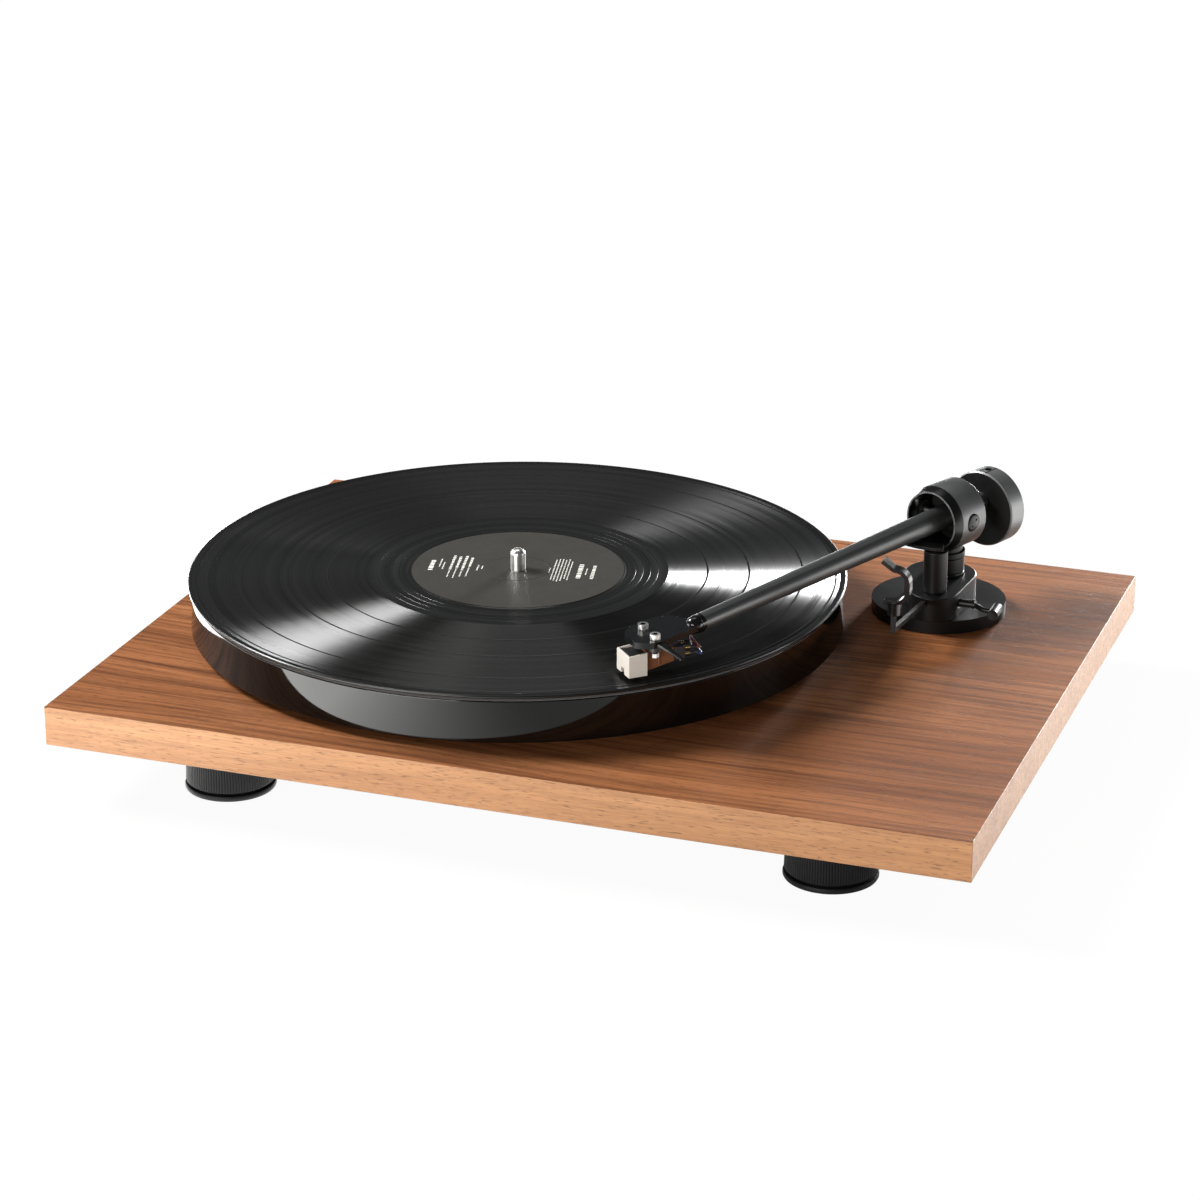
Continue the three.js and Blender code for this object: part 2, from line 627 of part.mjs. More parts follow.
// The tube's end and the headshell's neck are coaxial, but the shell's plate is level.
function makeNeck() {
  const back = TUBE.length + 2.6 + GAP;
  const profile = [[0, -back - 7.5], [2.4, -back - 6.8], [TUBE.tipRadius, -back - 4], [TUBE.tipRadius, -back], [0, -back]];
  const neck = turned(profile, 24).rotate([-90, 0, 0]).rotate([TUBE_DROP, 0, REST_YAW]);
  return neck
    .translate(PIVOT.x - SHELL.x, PIVOT.y - SHELL.y, PIVOT.z)
    .rotate([0, 0, -SHELL.yaw]);
}

const root = group([
  ...makePlinth(),
  ...makeFeet(),
  ...makeUnderside(),
  ...makeConnectors(),
  ...makeSwitch(),
  ...makeBelt(),
  ...makeArmBase(),
  ...makeArmRest(),
  ...makeLiftBar(),
  ...makeLever(),
  group([...makeBearing(), ...makeDrive(), ...makePlatter()], vec(PLATTER.x, PLATTER.y, 0)),
  group(makeMotor(), vec(...motorAt, 0)),
  group(makeYoke(), PIVOT, REST_YAW),
  group([...makeTube(), ...makeCounterweight()], PIVOT, REST_YAW, TUBE_DROP),
  group([...makeHeadshell(makeNeck()), ...makeCartridge()], vec(SHELL.x, SHELL.y, 0), SHELL.yaw),
]);
root.name = "turntable";

export default root;
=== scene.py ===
"""The looks of a belt-drive turntable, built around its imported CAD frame.

Shapes are written in millimetres in a frame of their own (the object, the platter, the swinging arm,
the tilting arm or the headshell) and brought into the object's frame, in metres, by its matrix.
"""

import json
import math
import random

import bpy
import bmesh
from mathutils import Matrix, Vector


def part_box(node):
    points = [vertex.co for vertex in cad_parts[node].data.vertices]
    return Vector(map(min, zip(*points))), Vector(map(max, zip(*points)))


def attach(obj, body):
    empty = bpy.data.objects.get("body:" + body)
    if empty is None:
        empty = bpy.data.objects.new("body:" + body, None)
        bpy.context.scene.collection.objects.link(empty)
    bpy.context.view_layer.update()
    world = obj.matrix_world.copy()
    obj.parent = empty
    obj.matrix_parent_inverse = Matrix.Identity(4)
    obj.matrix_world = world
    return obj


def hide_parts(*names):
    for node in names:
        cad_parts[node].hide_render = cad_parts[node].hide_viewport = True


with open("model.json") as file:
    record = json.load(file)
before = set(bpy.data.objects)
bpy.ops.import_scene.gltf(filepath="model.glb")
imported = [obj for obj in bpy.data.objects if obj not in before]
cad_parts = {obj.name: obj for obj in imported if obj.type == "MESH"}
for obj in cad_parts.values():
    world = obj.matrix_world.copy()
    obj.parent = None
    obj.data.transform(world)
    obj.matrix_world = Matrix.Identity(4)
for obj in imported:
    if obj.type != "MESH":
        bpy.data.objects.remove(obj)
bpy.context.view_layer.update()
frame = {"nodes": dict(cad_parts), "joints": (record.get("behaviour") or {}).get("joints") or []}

MM = 0.001
UP = Vector((0, 0, 1))
random.seed(7)

# The photograph's viewpoint: where the camera aims, in millimetres, and from which side and how far.
VIEW = {
    "aim": (-22.3, 43.2, 43.0),
    "azimuth": 19.569,
    "elevation": 21.269,
    "distance": 1698.4,
    "lens": 108.89,
}


# ---- camera -----------------------------------------------------------------------------------
def make_camera():
    turn, rise = math.radians(VIEW["azimuth"]), math.radians(VIEW["elevation"])
    back = Vector((math.sin(turn) * math.cos(rise), -math.cos(turn) * math.cos(rise), math.sin(rise)))
    data = bpy.data.cameras.new("view")
    data.lens = VIEW["lens"]
    data.sensor_width = 36
    data.clip_start = 0.05
    camera = bpy.data.objects.new("view", data)
    camera.location = (Vector(VIEW["aim"]) + back * VIEW["distance"]) * MM
    camera.rotation_euler = (-back).to_track_quat("-Z", "Y").to_euler()
    bpy.context.scene.collection.objects.link(camera)
    bpy.context.scene.camera = camera


make_camera()

# ---- frames -----------------------------------------------------------------------------------
joint = {j["name"]: j for j in frame["joints"]}
WORLD = Matrix.Scale(MM, 4)


def place_at(origin, x_axis, y_axis):
    """The matrix that brings millimetres, in a frame at origin with these axes, to the object's frame."""
    x, y = Vector(x_axis).normalized(), Vector(y_axis).normalized()
    turn = Matrix((x, y, x.cross(y))).transposed().to_4x4()
    return Matrix.Translation(Vector(origin)) @ turn @ Matrix.Scale(MM, 4)


def extent(node, place=WORLD):
    """The lowest and highest corners of a CAD node, in millimetres in that frame."""
    back = place.inverted()
    points = [back @ v.co for v in frame["nodes"][node].data.vertices]
    return Vector(map(min, *points)), Vector(map(max, *points))


def centre(node):
    low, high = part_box(node)
    return (low + high) / 2


pivot = Vector(joint["tonearm_pitch"]["pos_m"])
across = -Vector(joint["tonearm_pitch"]["axis"])  # to the arm's right, seen from behind it
PLATTER = place_at(Vector(joint["platter_spin"]["pos_m"]) * Vector((1, 1, 0)), (1, 0, 0), (0, 1, 0))
YAW = place_at(pivot, across, UP.cross(across))
ARM = place_at(pivot, across, joint["counterweight_slide"]["axis"])
screw_left, screw_right = centre("cartridge_screw_left"), centre("cartridge_screw_right")
shell_x = ((screw_right - screw_left) * Vector((1, 1, 0))).normalized()
SHELL = place_at((screw_left + screw_right) / 2 * Vector((1, 1, 0)), shell_x, UP.cross(shell_x))

LEVER_AXIS = Vector(joint["lift_lever_turn"]["pos_m"]) / MM  # a point on it, in millimetres

ALONG_X = Matrix.Rotation(math.radians(90), 4, "Y")  # turns a shape's Z axis to X
ALONG_Y = Matrix.Rotation(math.radians(-90), 4, "X")  # turns a shape's Z axis to Y


# ---- shapes: lists of points and faces, in millimetres ----------------------------------------
def loft(loops, closed=False):
    """A skin through loops of points. A loop of one point is a tip, and an open end gets a flat cap."""
    points, faces, starts = [], [], []
    for loop in loops:
        starts.append(len(points))
        points += [Vector(p) for p in loop]
    steps = [(i, i + 1) for i in range(len(loops) - 1)] + ([(len(loops) - 1, 0)] if closed else [])
    for a, b in steps:
        na, nb = len(loops[a]), len(loops[b])
        for i in range(max(na, nb)):
            k = i + 1
            face = [starts[a] + i % na, starts[a] + k % na, starts[b] + k % nb, starts[b] + i % nb]
            faces.append(list(dict.fromkeys(face)))
    for end in () if closed else (0, -1):
        if len(loops[end]) > 2:
            faces.append(range(starts[end], starts[end] + len(loops[end])))
    return points, faces


def circle(radius, height, sides):
    if radius == 0:
        return [(0, 0, height)]
    angles = [2 * math.pi * i / sides for i in range(sides)]
    return [(radius * math.cos(a), radius * math.sin(a), height) for a in angles]


def lathe(profile, sides=96):
    """(radius, height) points turned about Z. A profile that leaves the axis is a ring."""
    closed = profile[0][0] > 0 and profile[-1][0] > 0
    return loft([circle(r, h, sides) for r, h in profile], closed)


def cylinder(radius, low, high, sides):
    return lathe([(0, low), (radius, low), (radius, high), (0, high)], sides)


def prism(outline, low, high):
    """An (x, y) outline raised from one height to another."""
    return loft([[(x, y, low) for x, y in outline], [(x, y, high) for x, y in outline]])


def block(low, high):
    (x0, y0, z0), (x1, y1, z1) = low, high
    return prism([(x0, y0), (x1, y0), (x1, y1), (x0, y1)], z0, z1)


def sweep(path, radius, sides=20):
    """A round rod along a path. radius is a number, or one for each point."""
    path = [Vector(p) for p in path]
    radii = radius if isinstance(radius, list) else [radius] * len(path)
    side = (path[1] - path[0]).orthogonal().normalized()
    loops = []
    for i, p in enumerate(path):
        ahead = (path[min(i + 1, len(path) - 1)] - path[max(i - 1, 0)]).normalized()
        side = (side - ahead * side.dot(ahead)).normalized()
        other = ahead.cross(side)
        angles = [2 * math.pi * k / sides for k in range(sides)]
        loops.append([p + (side * math.cos(a) + other * math.sin(a)) * radii[i] for a in angles])
    return loft(loops)


def smooth_path(points, steps=8):
    """A Catmull-Rom curve through the points."""
    p = [Vector(q) for q in points]
    p = [2 * p[0] - p[1]] + p + [2 * p[-1] - p[-2]]
    made = []
    for i in range(1, len(p) - 2):
        for k in range(steps):
            t = k / steps
            a, b, c, d = p[i - 1 : i + 3]
            bend = (c - a) * t + (2 * a - 5 * b + 4 * c - d) * t**2 + (3 * b - a - 3 * c + d) * t**3
            made.append(b + bend / 2)
    return made + [p[-2]]


def arc(cx, cy, r, start, end, count):
    angles = [math.radians(start + (end - start) * i / count) for i in range(count + 1)]
    return [(cx + r * math.cos(a), cy + r * math.sin(a)) for a in angles]


def curve_to(start, bend, end, count=8):
    """Points of a quadratic curve, without its start."""
    s, b, e = Vector(start), Vector(bend), Vector(end)
    shares = [(i + 1) / count for i in range(count)]
    return [tuple(s * (1 - t) ** 2 + b * 2 * t * (1 - t) + e * t * t) for t in shares]


def two_circle_outline(big, small, count=24):
    (ax, ay, ar), (bx, by, br) = big, small
    along = math.degrees(math.atan2(by - ay, bx - ax))
    spread = math.degrees(math.acos((ar - br) / math.hypot(bx - ax, by - ay)))
    far = arc(ax, ay, ar, along + spread, along - spread + 360, count * 2)
    return far + arc(bx, by, br, along - spread, along + spread, count)


def strip(points, thick):
    """The outline of a band of constant thickness along (x, y) points."""
    sides = []
    for sign in (1, -1):
        side = []
        for i, (x, y) in enumerate(points):
            px, py = points[max(i - 1, 0)]
            nx, ny = points[min(i + 1, len(points) - 1)]
            reach = sign * thick / 2 / math.hypot(nx - px, ny - py)
            side.append((x - (ny - py) * reach, y + (nx - px) * reach))
        sides.append(side)
    return sides[0] + sides[1][::-1]


def moved(shape, matrix):
    return [matrix @ p for p in shape[0]], shape[1]


def shift(shape, x=0.0, y=0.0, z=0.0):
    return moved(shape, Matrix.Translation((x, y, z)))


def joined(*shapes):
    points, faces = [], []
    for more_points, more_faces in shapes:
        faces += [[i + len(points) for i in f] for f in more_faces]
        points += more_points
    return points, faces


# ---- pieces -----------------------------------------------------------------------------------
def bare_object(name, shape, place):
    made = bmesh.new()
    corners = [made.verts.new(place @ p) for p in shape[0]]
    for face in shape[1]:
        made.faces.new([corners[i] for i in face])
    bmesh.ops.recalc_face_normals(made, faces=made.faces)
    mesh = bpy.data.meshes.new(name)
    made.to_mesh(mesh)
    made.free()
    obj = bpy.data.objects.new(name, mesh)
    bpy.context.scene.collection.objects.link(obj)
    return obj


def carve(obj, shape, place, operation="DIFFERENCE"):
    """Cuts a shape out of an object's mesh, or joins it on."""
    tool = bare_object(obj.name + "_tool", shape, place)
    step = obj.modifiers.new("carve", "BOOLEAN")
    step.operation, step.object, step.solver = operation, tool, "EXACT"
    shown = obj.evaluated_get(bpy.context.evaluated_depsgraph_get())
    result = bpy.data.meshes.new_from_object(shown)
    obj.modifiers.clear()
    old, obj.data = obj.data, result
    bpy.data.meshes.remove(old)
    bpy.data.objects.remove(tool)


SHARP_ANGLE = 32  # degrees; a rounded edge has smaller steps, so it stays smooth


def finish_edges(obj, bevel, segments=3, angle=SHARP_ANGLE):
    """Smooth faces with sharp edges kept, and a rounded edge where a real one would be broken."""
    obj.data.shade_smooth()
    obj.data.set_sharp_from_angle(angle=math.radians(angle))
    if bevel:
        step = obj.modifiers.new("edge", "BEVEL")
        step.width, step.segments = bevel * MM, segments
        step.limit_method, step.angle_limit = "ANGLE", math.radians(angle)
        step.harden_normals = True
        step.use_clamp_overlap = True


def piece(name, shape, look, body, replaces=(), place=WORLD, bevel=0.25, segments=3, cuts=(),
          adds=(),
          angle=SHARP_ANGLE, pick=None):
    """A finished piece. look names one material, or is a list that pick(centre, normal) chooses from."""
    obj = bare_object(name, shape, place)
    for more in adds:
        carve(obj, more, place, "UNION")
    for less in cuts:
        carve(obj, less, place)
    looks = look if isinstance(look, list) else [look]
    obj.data.materials.clear()
    for one in looks:
        obj.data.materials.append(LOOKS[one])
    if pick:
        back = place.inverted()
        turn = back.to_3x3()
        for face in obj.data.polygons:
            face.material_index = pick(back @ face.center, (turn @ face.normal).normalized())
    finish_edges(obj, bevel, segments, angle)
    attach(obj, body)
    if replaces:
        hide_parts(*replaces)
    return obj


# ---- materials --------------------------------------------------------------------------------
class Look:
    """A procedural material: one Principled shader, and nodes fed by the object's own coordinates."""

    def __init__(self, name, **sockets):
        self.material = bpy.data.materials.new(name)
        self.material.use_nodes = True
        self.tree = self.material.node_tree
        self.shader = self.tree.nodes["Principled BSDF"]
        for key, value in sockets.items():
            value = (*value, 1.0) if isinstance(value, tuple) else value
            self.shader.inputs[self.socket(key)].default_value = value
        self.here = self.node("ShaderNodeTexCoord").outputs["Object"]

    def socket(self, key):
        return "IOR" if key == "ior" else key.replace("_", " ").title()

    def node(self, kind, inputs=None, **settings):
        made = self.tree.nodes.new(kind)
        for key, value in settings.items():
            setattr(made, key, value)
        for key, value in (inputs or {}).items():
            self.feed(made.inputs[key], value)
        return made

    def feed(self, socket, value):
        if isinstance(value, bpy.types.NodeSocket):
            self.tree.links.new(value, socket)
        else:
            socket.default_value = value

    def set(self, **sockets):
        for key, value in sockets.items():
            self.feed(self.shader.inputs[self.socket(key)], value)
        return self

    def math(self, operation, a, b=0.0):
        return self.node("ShaderNodeMath", {0: a, 1: b}, operation=operation).outputs[0]

    def vector(self, operation, a, b=(0, 0, 0)):
        made = self.node("ShaderNodeVectorMath", {0: a, 1: b}, operation=operation)
        return made.outputs["Value" if operation in ("LENGTH", "DOT_PRODUCT") else "Vector"]

    def noise(self, scale, stretch=(1, 1, 1), detail=3.0, rough=0.55, at=None):
        """Noise with features of about 1 / scale metres, along each axis as stretch says."""
        where = self.vector("MULTIPLY", at or self.here, stretch)
        made = self.node("ShaderNodeTexNoise", {"Vector": where, "Scale": scale, "Detail": detail,
                                                "Roughness": rough})
        return made.outputs[0]

    def noise_1d(self, w, scale, detail=2.0):
        made = self.node("ShaderNodeTexNoise", noise_dimensions="1D")
        self.feed(made.inputs["W"], w)
        self.feed(made.inputs["Scale"], scale)
        self.feed(made.inputs["Detail"], detail)
        return made.outputs[0]

    def span(self, value, low, high, to_low=0.0, to_high=1.0):
        inputs = {"Value": value, "From Min": low, "From Max": high, "To Min": to_low, "To Max": to_high}
        return self.node("ShaderNodeMapRange", inputs, clamp=True).outputs[0]

    def mix(self, share, a, b):
        a, b = ((*c, 1.0) if isinstance(c, tuple) else c for c in (a, b))
        made = self.node("ShaderNodeMix", data_type="RGBA")
        for index, value in ((0, share), (6, a), (7, b)):
            self.feed(made.inputs[index], value)
        return made.outputs[2]

    def bump(self, height, distance, strength=1.0, normal=None):
        """Relief of that depth, in metres."""
        made = self.node("ShaderNodeBump", {"Height": height, "Distance": distance, "Strength": strength})
        if normal:
            self.feed(made.inputs["Normal"], normal)
        self.feed(self.shader.inputs["Normal"], made.outputs[0])
        return self

    def convex_edges(self):
        """1 on sharp convex edges, 0 on flat faces."""
        return self.span(self.node("ShaderNodeNewGeometry").outputs["Pointiness"], 0.52, 0.6)


def walnut(name, dark, mid, light, gloss, figure=1.0, ior=1.22):
    """Straight-grained veneer along X: broad figure bands, fine streaks and short dark pores."""
    look = Look(name, roughness=gloss, ior=ior)
    sway = look.noise(5.0, (0.5, 1, 1), 2.0)
    offset = look.node("ShaderNodeCombineXYZ", {1: look.math("MULTIPLY", sway, 0.035), 2: 0.0}).outputs[0]
    at = look.vector("ADD", look.here, offset)
    bands = look.noise(1.0, (2.0, 34, 34), 4.0, 0.6, at)
    streaks = look.noise(1.0, (9, 330, 330), 5.0, 0.7, at)
    fine = look.noise(1.0, (40, 1500, 1500), 3.0, 0.65, at)
    pores = look.span(look.noise(1.0, (190, 1700, 1700), 2.0, 0.5, at), 0.58, 0.70)
    veins = look.span(look.noise(1.0, (2.4, 120, 120), 4.0, 0.75, at), 0.56, 0.66)
    blotch = look.noise(9.0, (0.6, 2.2, 1), 2.0, 0.5)
    base = look.mix(look.span(bands, 0.40, 0.62), light, mid)
    base = look.mix(look.math("MULTIPLY", look.span(streaks, 0.44, 0.62), 0.70 * figure), base, dark)
    base = look.mix(look.math("MULTIPLY", veins, 0.75 * figure), base, dark)
    base = look.mix(look.math("MULTIPLY", look.span(fine, 0.45, 0.68), 0.38), base, dark)
    base = look.mix(look.math("MULTIPLY", look.span(blotch, 0.35, 0.7), 0.25), base, mid)
    base = look.mix(look.math("MULTIPLY", pores, 0.55), base, tuple(c * 0.35 for c in dark))
    worn = look.math("ADD", streaks, look.math("MULTIPLY", pores, 0.4))
    rough = look.span(worn, 0.3, 0.9, gloss - 0.04, gloss + 0.14)
    relief = look.math("SUBTRACT", look.math("MULTIPLY", fine, 0.35), look.math("MULTIPLY", pores, 0.9))
    return look.set(base_color=base, roughness=rough).bump(relief, 0.00008, 0.8).material


def painted_board():
    look = Look("painted_board", roughness=0.75)
    grit = look.noise(900.0, detail=4.0)
    tone = look.mix(grit, (0.012, 0.010, 0.009), (0.035, 0.030, 0.026))
    return look.set(base_color=tone).bump(grit, 0.00005).material


def satin(name, color, rough, metallic=0.0, grain=2600.0, depth=0.000012, edge_lightening=0.35, ior=1.5):
    """Blasted or powder-coated metal: fine grain in the relief and gloss, and a lighter colour on sharp
    convex edges.
    """
    look = Look(name, metallic=metallic, ior=ior)
    grit = look.noise(grain, detail=3.0, rough=0.6)
    cloud = look.noise(40.0, detail=3.0)
    tone = look.mix(cloud, tuple(c * 0.82 for c in color), tuple(min(1.0, c * 1.18) for c in color))
    # The colour turns lighter on sharp convex edges, by the mesh's Pointiness.
    pale = tuple(min(1.0, c * 2.2 + 0.02) for c in color)
    tone = look.mix(look.math("MULTIPLY", look.convex_edges(), edge_lightening), tone, pale)
    polish = look.span(look.math("ADD", grit, cloud), 0.6, 1.4, rough - 0.05, rough + 0.07)
    look.set(base_color=tone, roughness=polish)
    return look.bump(grit, depth, 0.8).material


def gloss(name, color, rough=0.05, ior=1.5, metallic=0.0, waves=0.000004):
    """Polished lacquer, plastic or metal, with a faint ripple and a dust haze in its gloss."""
    look = Look(name, metallic=metallic, ior=ior)
    haze = look.noise(300.0, detail=5.0, rough=0.7)
    ripple = look.noise(45.0, detail=2.0)
    tone = look.mix(look.span(haze, 0.45, 0.75), color, tuple(min(1.0, c * 1.25 + 0.001) for c in color))
    look.set(base_color=tone, roughness=look.span(haze, 0.35, 0.8, rough, rough + 0.05))
    return look.bump(ripple, waves, 0.6).material


GROOVE_LEAN = 0.46  # how far the groove walls that show lean outwards


def vinyl(name, grooved):
    """Pressed vinyl. Its grooves run round the spindle, so a light draws a fan across them."""
    base = (0.0050, 0.0050, 0.0046)
    look = Look(name, anisotropic=1.0 if grooved else 0.6, ior=1.45)
    middle = PLATTER.translation
    flat = look.vector("MULTIPLY", look.vector("SUBTRACT", look.here, tuple(middle)), (1, 1, 0))
    radius = look.vector("LENGTH", flat)
    loud = look.noise_1d(radius, 2600.0, 3.0)
    passage = look.noise_1d(radius, 240.0, 2.0)
    outward = look.vector("NORMALIZE", flat)
    round_it = look.vector("CROSS_PRODUCT", (0, 0, 1), outward)
    lean = look.math("MULTIPLY", look.math("SUBTRACT", loud, 0.5), 0.16 if grooved else 0.03)
    lean_2 = look.math("MULTIPLY", look.math("SUBTRACT", passage, 0.5), 0.10 if grooved else 0.02)
    tilt = look.node("ShaderNodeVectorMath", {0: round_it, "Scale": look.math("ADD", lean, lean_2)},
                     operation="SCALE")
    tangent = look.vector("ADD", outward, tilt.outputs[0])
    turned = look.node("ShaderNodeVectorTransform", {0: tangent}, vector_type="VECTOR",
                       convert_from="OBJECT",
                       convert_to="WORLD")
    mix = look.math("ADD", look.math("MULTIPLY", loud, 0.6), look.math("MULTIPLY", passage, 0.4))
    tone = look.mix(look.span(mix, 0.35, 0.65), tuple(c * 0.6 for c in base),
                    tuple(c * 1.7 for c in base))
    rough = look.span(mix, 0.35, 0.65, 0.27, 0.36) if grooved else look.span(passage, 0.3, 0.7, 0.20,
                                                                             0.26)
    look.set(base_color=tone, roughness=rough, tangent=turned.outputs[0])
    if grooved:
        lean_out = look.node("ShaderNodeVectorMath", {0: outward, "Scale": GROOVE_LEAN},
                             operation="SCALE").outputs[0]
        upright = look.vector("ADD", lean_out, (0, 0, 1))
        wall = look.node("ShaderNodeVectorTransform", {0: look.vector("NORMALIZE", upright)},
                         vector_type="NORMAL",
                         convert_from="OBJECT", convert_to="WORLD").outputs[0]
        return look.bump(mix, 0.00002, 0.5, wall).material
    return look.bump(mix, 0.000002, 0.5).material


def felt():
    look = Look("mat_felt", roughness=0.95, sheen_weight=0.4, sheen_roughness=0.5)
    nap = look.noise(1500.0, detail=6.0, rough=0.7)
    tone = look.mix(nap, (0.010, 0.010, 0.010), (0.045, 0.043, 0.042))
    return look.set(base_color=tone).bump(nap, 0.0003, 0.9).material


def rubber():
    look = Look("foot_rubber", roughness=0.5, ior=1.2)
    grit = look.noise(1800.0, detail=4.0)
    dust = look.noise(70.0, detail=4.0)
    tone = look.mix(look.span(dust, 0.4, 0.75), (0.004, 0.0042, 0.0044), (0.009, 0.0093, 0.0097))
    rough = look.span(grit, 0.3, 0.7, 0.46, 0.60)
    return look.set(base_color=tone, roughness=rough).bump(grit, 0.00004, 0.6).material


def paper():
    """The record's printed label: matt dark paper with a faint mottling, under a soft varnish."""
    look = Look("label_paper", ior=1.4)
    fibre = look.noise(900.0, detail=5.0, rough=0.7)
    cloud = look.noise(60.0, detail=3.0)
    mottling = look.math("MULTIPLY", look.math("ADD", fibre, cloud), 0.5)
    tone = look.mix(mottling, (0.026, 0.024, 0.020), (0.050, 0.046, 0.039))
    rough = look.span(fibre, 0.3, 0.7, 0.30, 0.42)
    return look.set(base_color=tone, roughness=rough).bump(fibre, 0.00002, 0.5).material


def plastic(name, color, rough, depth=0.00001, speck=0.12):
    """Moulded plastic with a fine spark-eroded texture."""
    look = Look(name)
    grit = look.noise(3200.0, detail=3.0)
    cloud = look.noise(120.0, detail=3.0)
    tone = look.mix(cloud, tuple(c * (1 - speck) for c in color),
                    tuple(min(1.0, c * (1 + speck)) for c in color))
    look.set(base_color=tone, roughness=look.span(grit, 0.3, 0.7, rough - 0.04, rough + 0.06))
    return look.bump(grit, depth, 0.7).material


def circuit_board():
    """Green solder mask with straight copper tracks under it."""
    look = Look("board_green", roughness=0.35)
    runs = look.node("ShaderNodeTexBrick", {"Vector": look.here, "Scale": 90.0, "Mortar Size": 0.03})
    tone = look.mix(runs.outputs["Fac"], (0.012, 0.09, 0.035), (0.03, 0.20, 0.08))
    return look.set(base_color=tone).bump(runs.outputs["Fac"], 0.00005).material


LOOKS = {
    "walnut_top": walnut("walnut_top", (0.070, 0.021, 0.007), (0.225, 0.080, 0.028),
                         (0.360, 0.143, 0.056), 0.48),
    "walnut_edge": walnut("walnut_edge", (0.20, 0.085, 0.036), (0.42, 0.205, 0.090), (0.52, 0.27, 0.125),
                          0.42, 0.5, 1.4),
    "painted_board": painted_board(),
    "foot_rubber": rubber(),
    "platter_gloss": gloss("platter_gloss", (0.0015, 0.0015, 0.0015), 0.03, 1.38),
    "mat_felt": felt(),
    "vinyl_grooves": vinyl("vinyl_grooves", True),
    "vinyl_plain": vinyl("vinyl_plain", False),
    "label_paper": paper(),
    "print_white": plastic("print_white", (0.62, 0.61, 0.56), 0.5, speck=0.25),
    "satin_black": satin("satin_black", (0.0025, 0.0025, 0.0025), 0.34, 0.0, ior=1.3),
    "shell_black": gloss("shell_black", (0.004, 0.004, 0.0042), 0.14, 1.42),
    "tube_black": satin("tube_black", (0.031, 0.032, 0.032), 0.44, 0.0, ior=1.6),
    "ring_grey": satin("ring_grey", (0.115, 0.118, 0.118), 0.42, 0.5),
    "chamfer_black": satin("chamfer_black", (0.0025, 0.0025, 0.0025), 0.30, ior=1.32),
    "bright_steel": satin("bright_steel", (0.80, 0.80, 0.78), 0.30, 1.0, 1400.0, 0.000008, 0.2),
    "ring_bright": satin("ring_bright", (0.80, 0.80, 0.78), 0.16, 1.0, 1400.0, 0.000004, 0.0),
    "zinc_steel": satin("zinc_steel", (0.42, 0.42, 0.41), 0.34, 1.0, 900.0, 0.00002),
    "brass": satin("brass", (0.60, 0.40, 0.16), 0.25, 1.0, 1400.0, 0.000008),
    "white_plastic": plastic("white_plastic", (0.50, 0.465, 0.415), 0.36, speck=0.05),
    "copper_plastic": plastic("copper_plastic", (0.13, 0.050, 0.022), 0.24),
    "board_green": circuit_board(),
    "drive_rubber": plastic("drive_rubber", (0.012, 0.012, 0.012), 0.62),
    "jack_black": plastic("jack_black", (0.012, 0.012, 0.012), 0.35),
    "jack_red": plastic("jack_red", (0.45, 0.012, 0.010), 0.35),
    "lead_red": plastic("lead_red", (0.10, 0.012, 0.010), 0.4),
    "lead_blue": plastic("lead_blue", (0.010, 0.016, 0.06), 0.4),
}


# ---- plinth and feet --------------------------------------------------------------------------
WELD_REACH = 0.001 * MM
EDGE_RADIUS = 0.35  # in millimetres: the veneered board's corners are crisp


def flatten_shading(obj):
    """More even shading on flat faces, because welding averages the CAD mesh's own normals at corners."""
    split = obj.modifiers.new("hard_edges", "EDGE_SPLIT")
    split.split_angle = math.radians(SHARP_ANGLE)
    split.use_edge_sharp = False
    obj.modifiers.new("flat_faces", "WEIGHTED_NORMAL").weight = 100


def weld_and_round(node, looks, bevel, segments=3, pick=None):
    """A CAD node that stays: its own mesh, with rounded edges and its materials."""
    obj = frame["nodes"][node]
    obj.data.materials.clear()
    for one in looks:
        obj.data.materials.append(LOOKS[one])
    if pick:
        for face in obj.data.polygons:
            face.material_index = pick(face.center / MM, face.normal)
    obj.modifiers.new("weld", "WELD").merge_threshold = WELD_REACH
    finish_edges(obj, bevel, segments)
    flatten_shading(obj)


def make_plinth():
    def side(centre_mm, normal):
        if normal.z > 0.5:
            return 0
        return 2 if normal.z < -0.5 else 1

    weld_and_round("plinth", ["walnut_top", "walnut_edge", "painted_board"], EDGE_RADIUS,
                   3, side)


FOOT_RIBS = 100
RIB_DEPTH = 0.32
POINTS_PER_RIB = 8


def ribbed_loop(radius, height, depth):
    loop = []
    for i in range(FOOT_RIBS * POINTS_PER_RIB):
        turn = i / POINTS_PER_RIB
        angle = 2 * math.pi * turn / FOOT_RIBS
        r = radius - depth * (1 - abs(math.sin(math.pi * turn))) ** 1.5
        loop.append((r * math.cos(angle), r * math.sin(angle), height))
    return loop


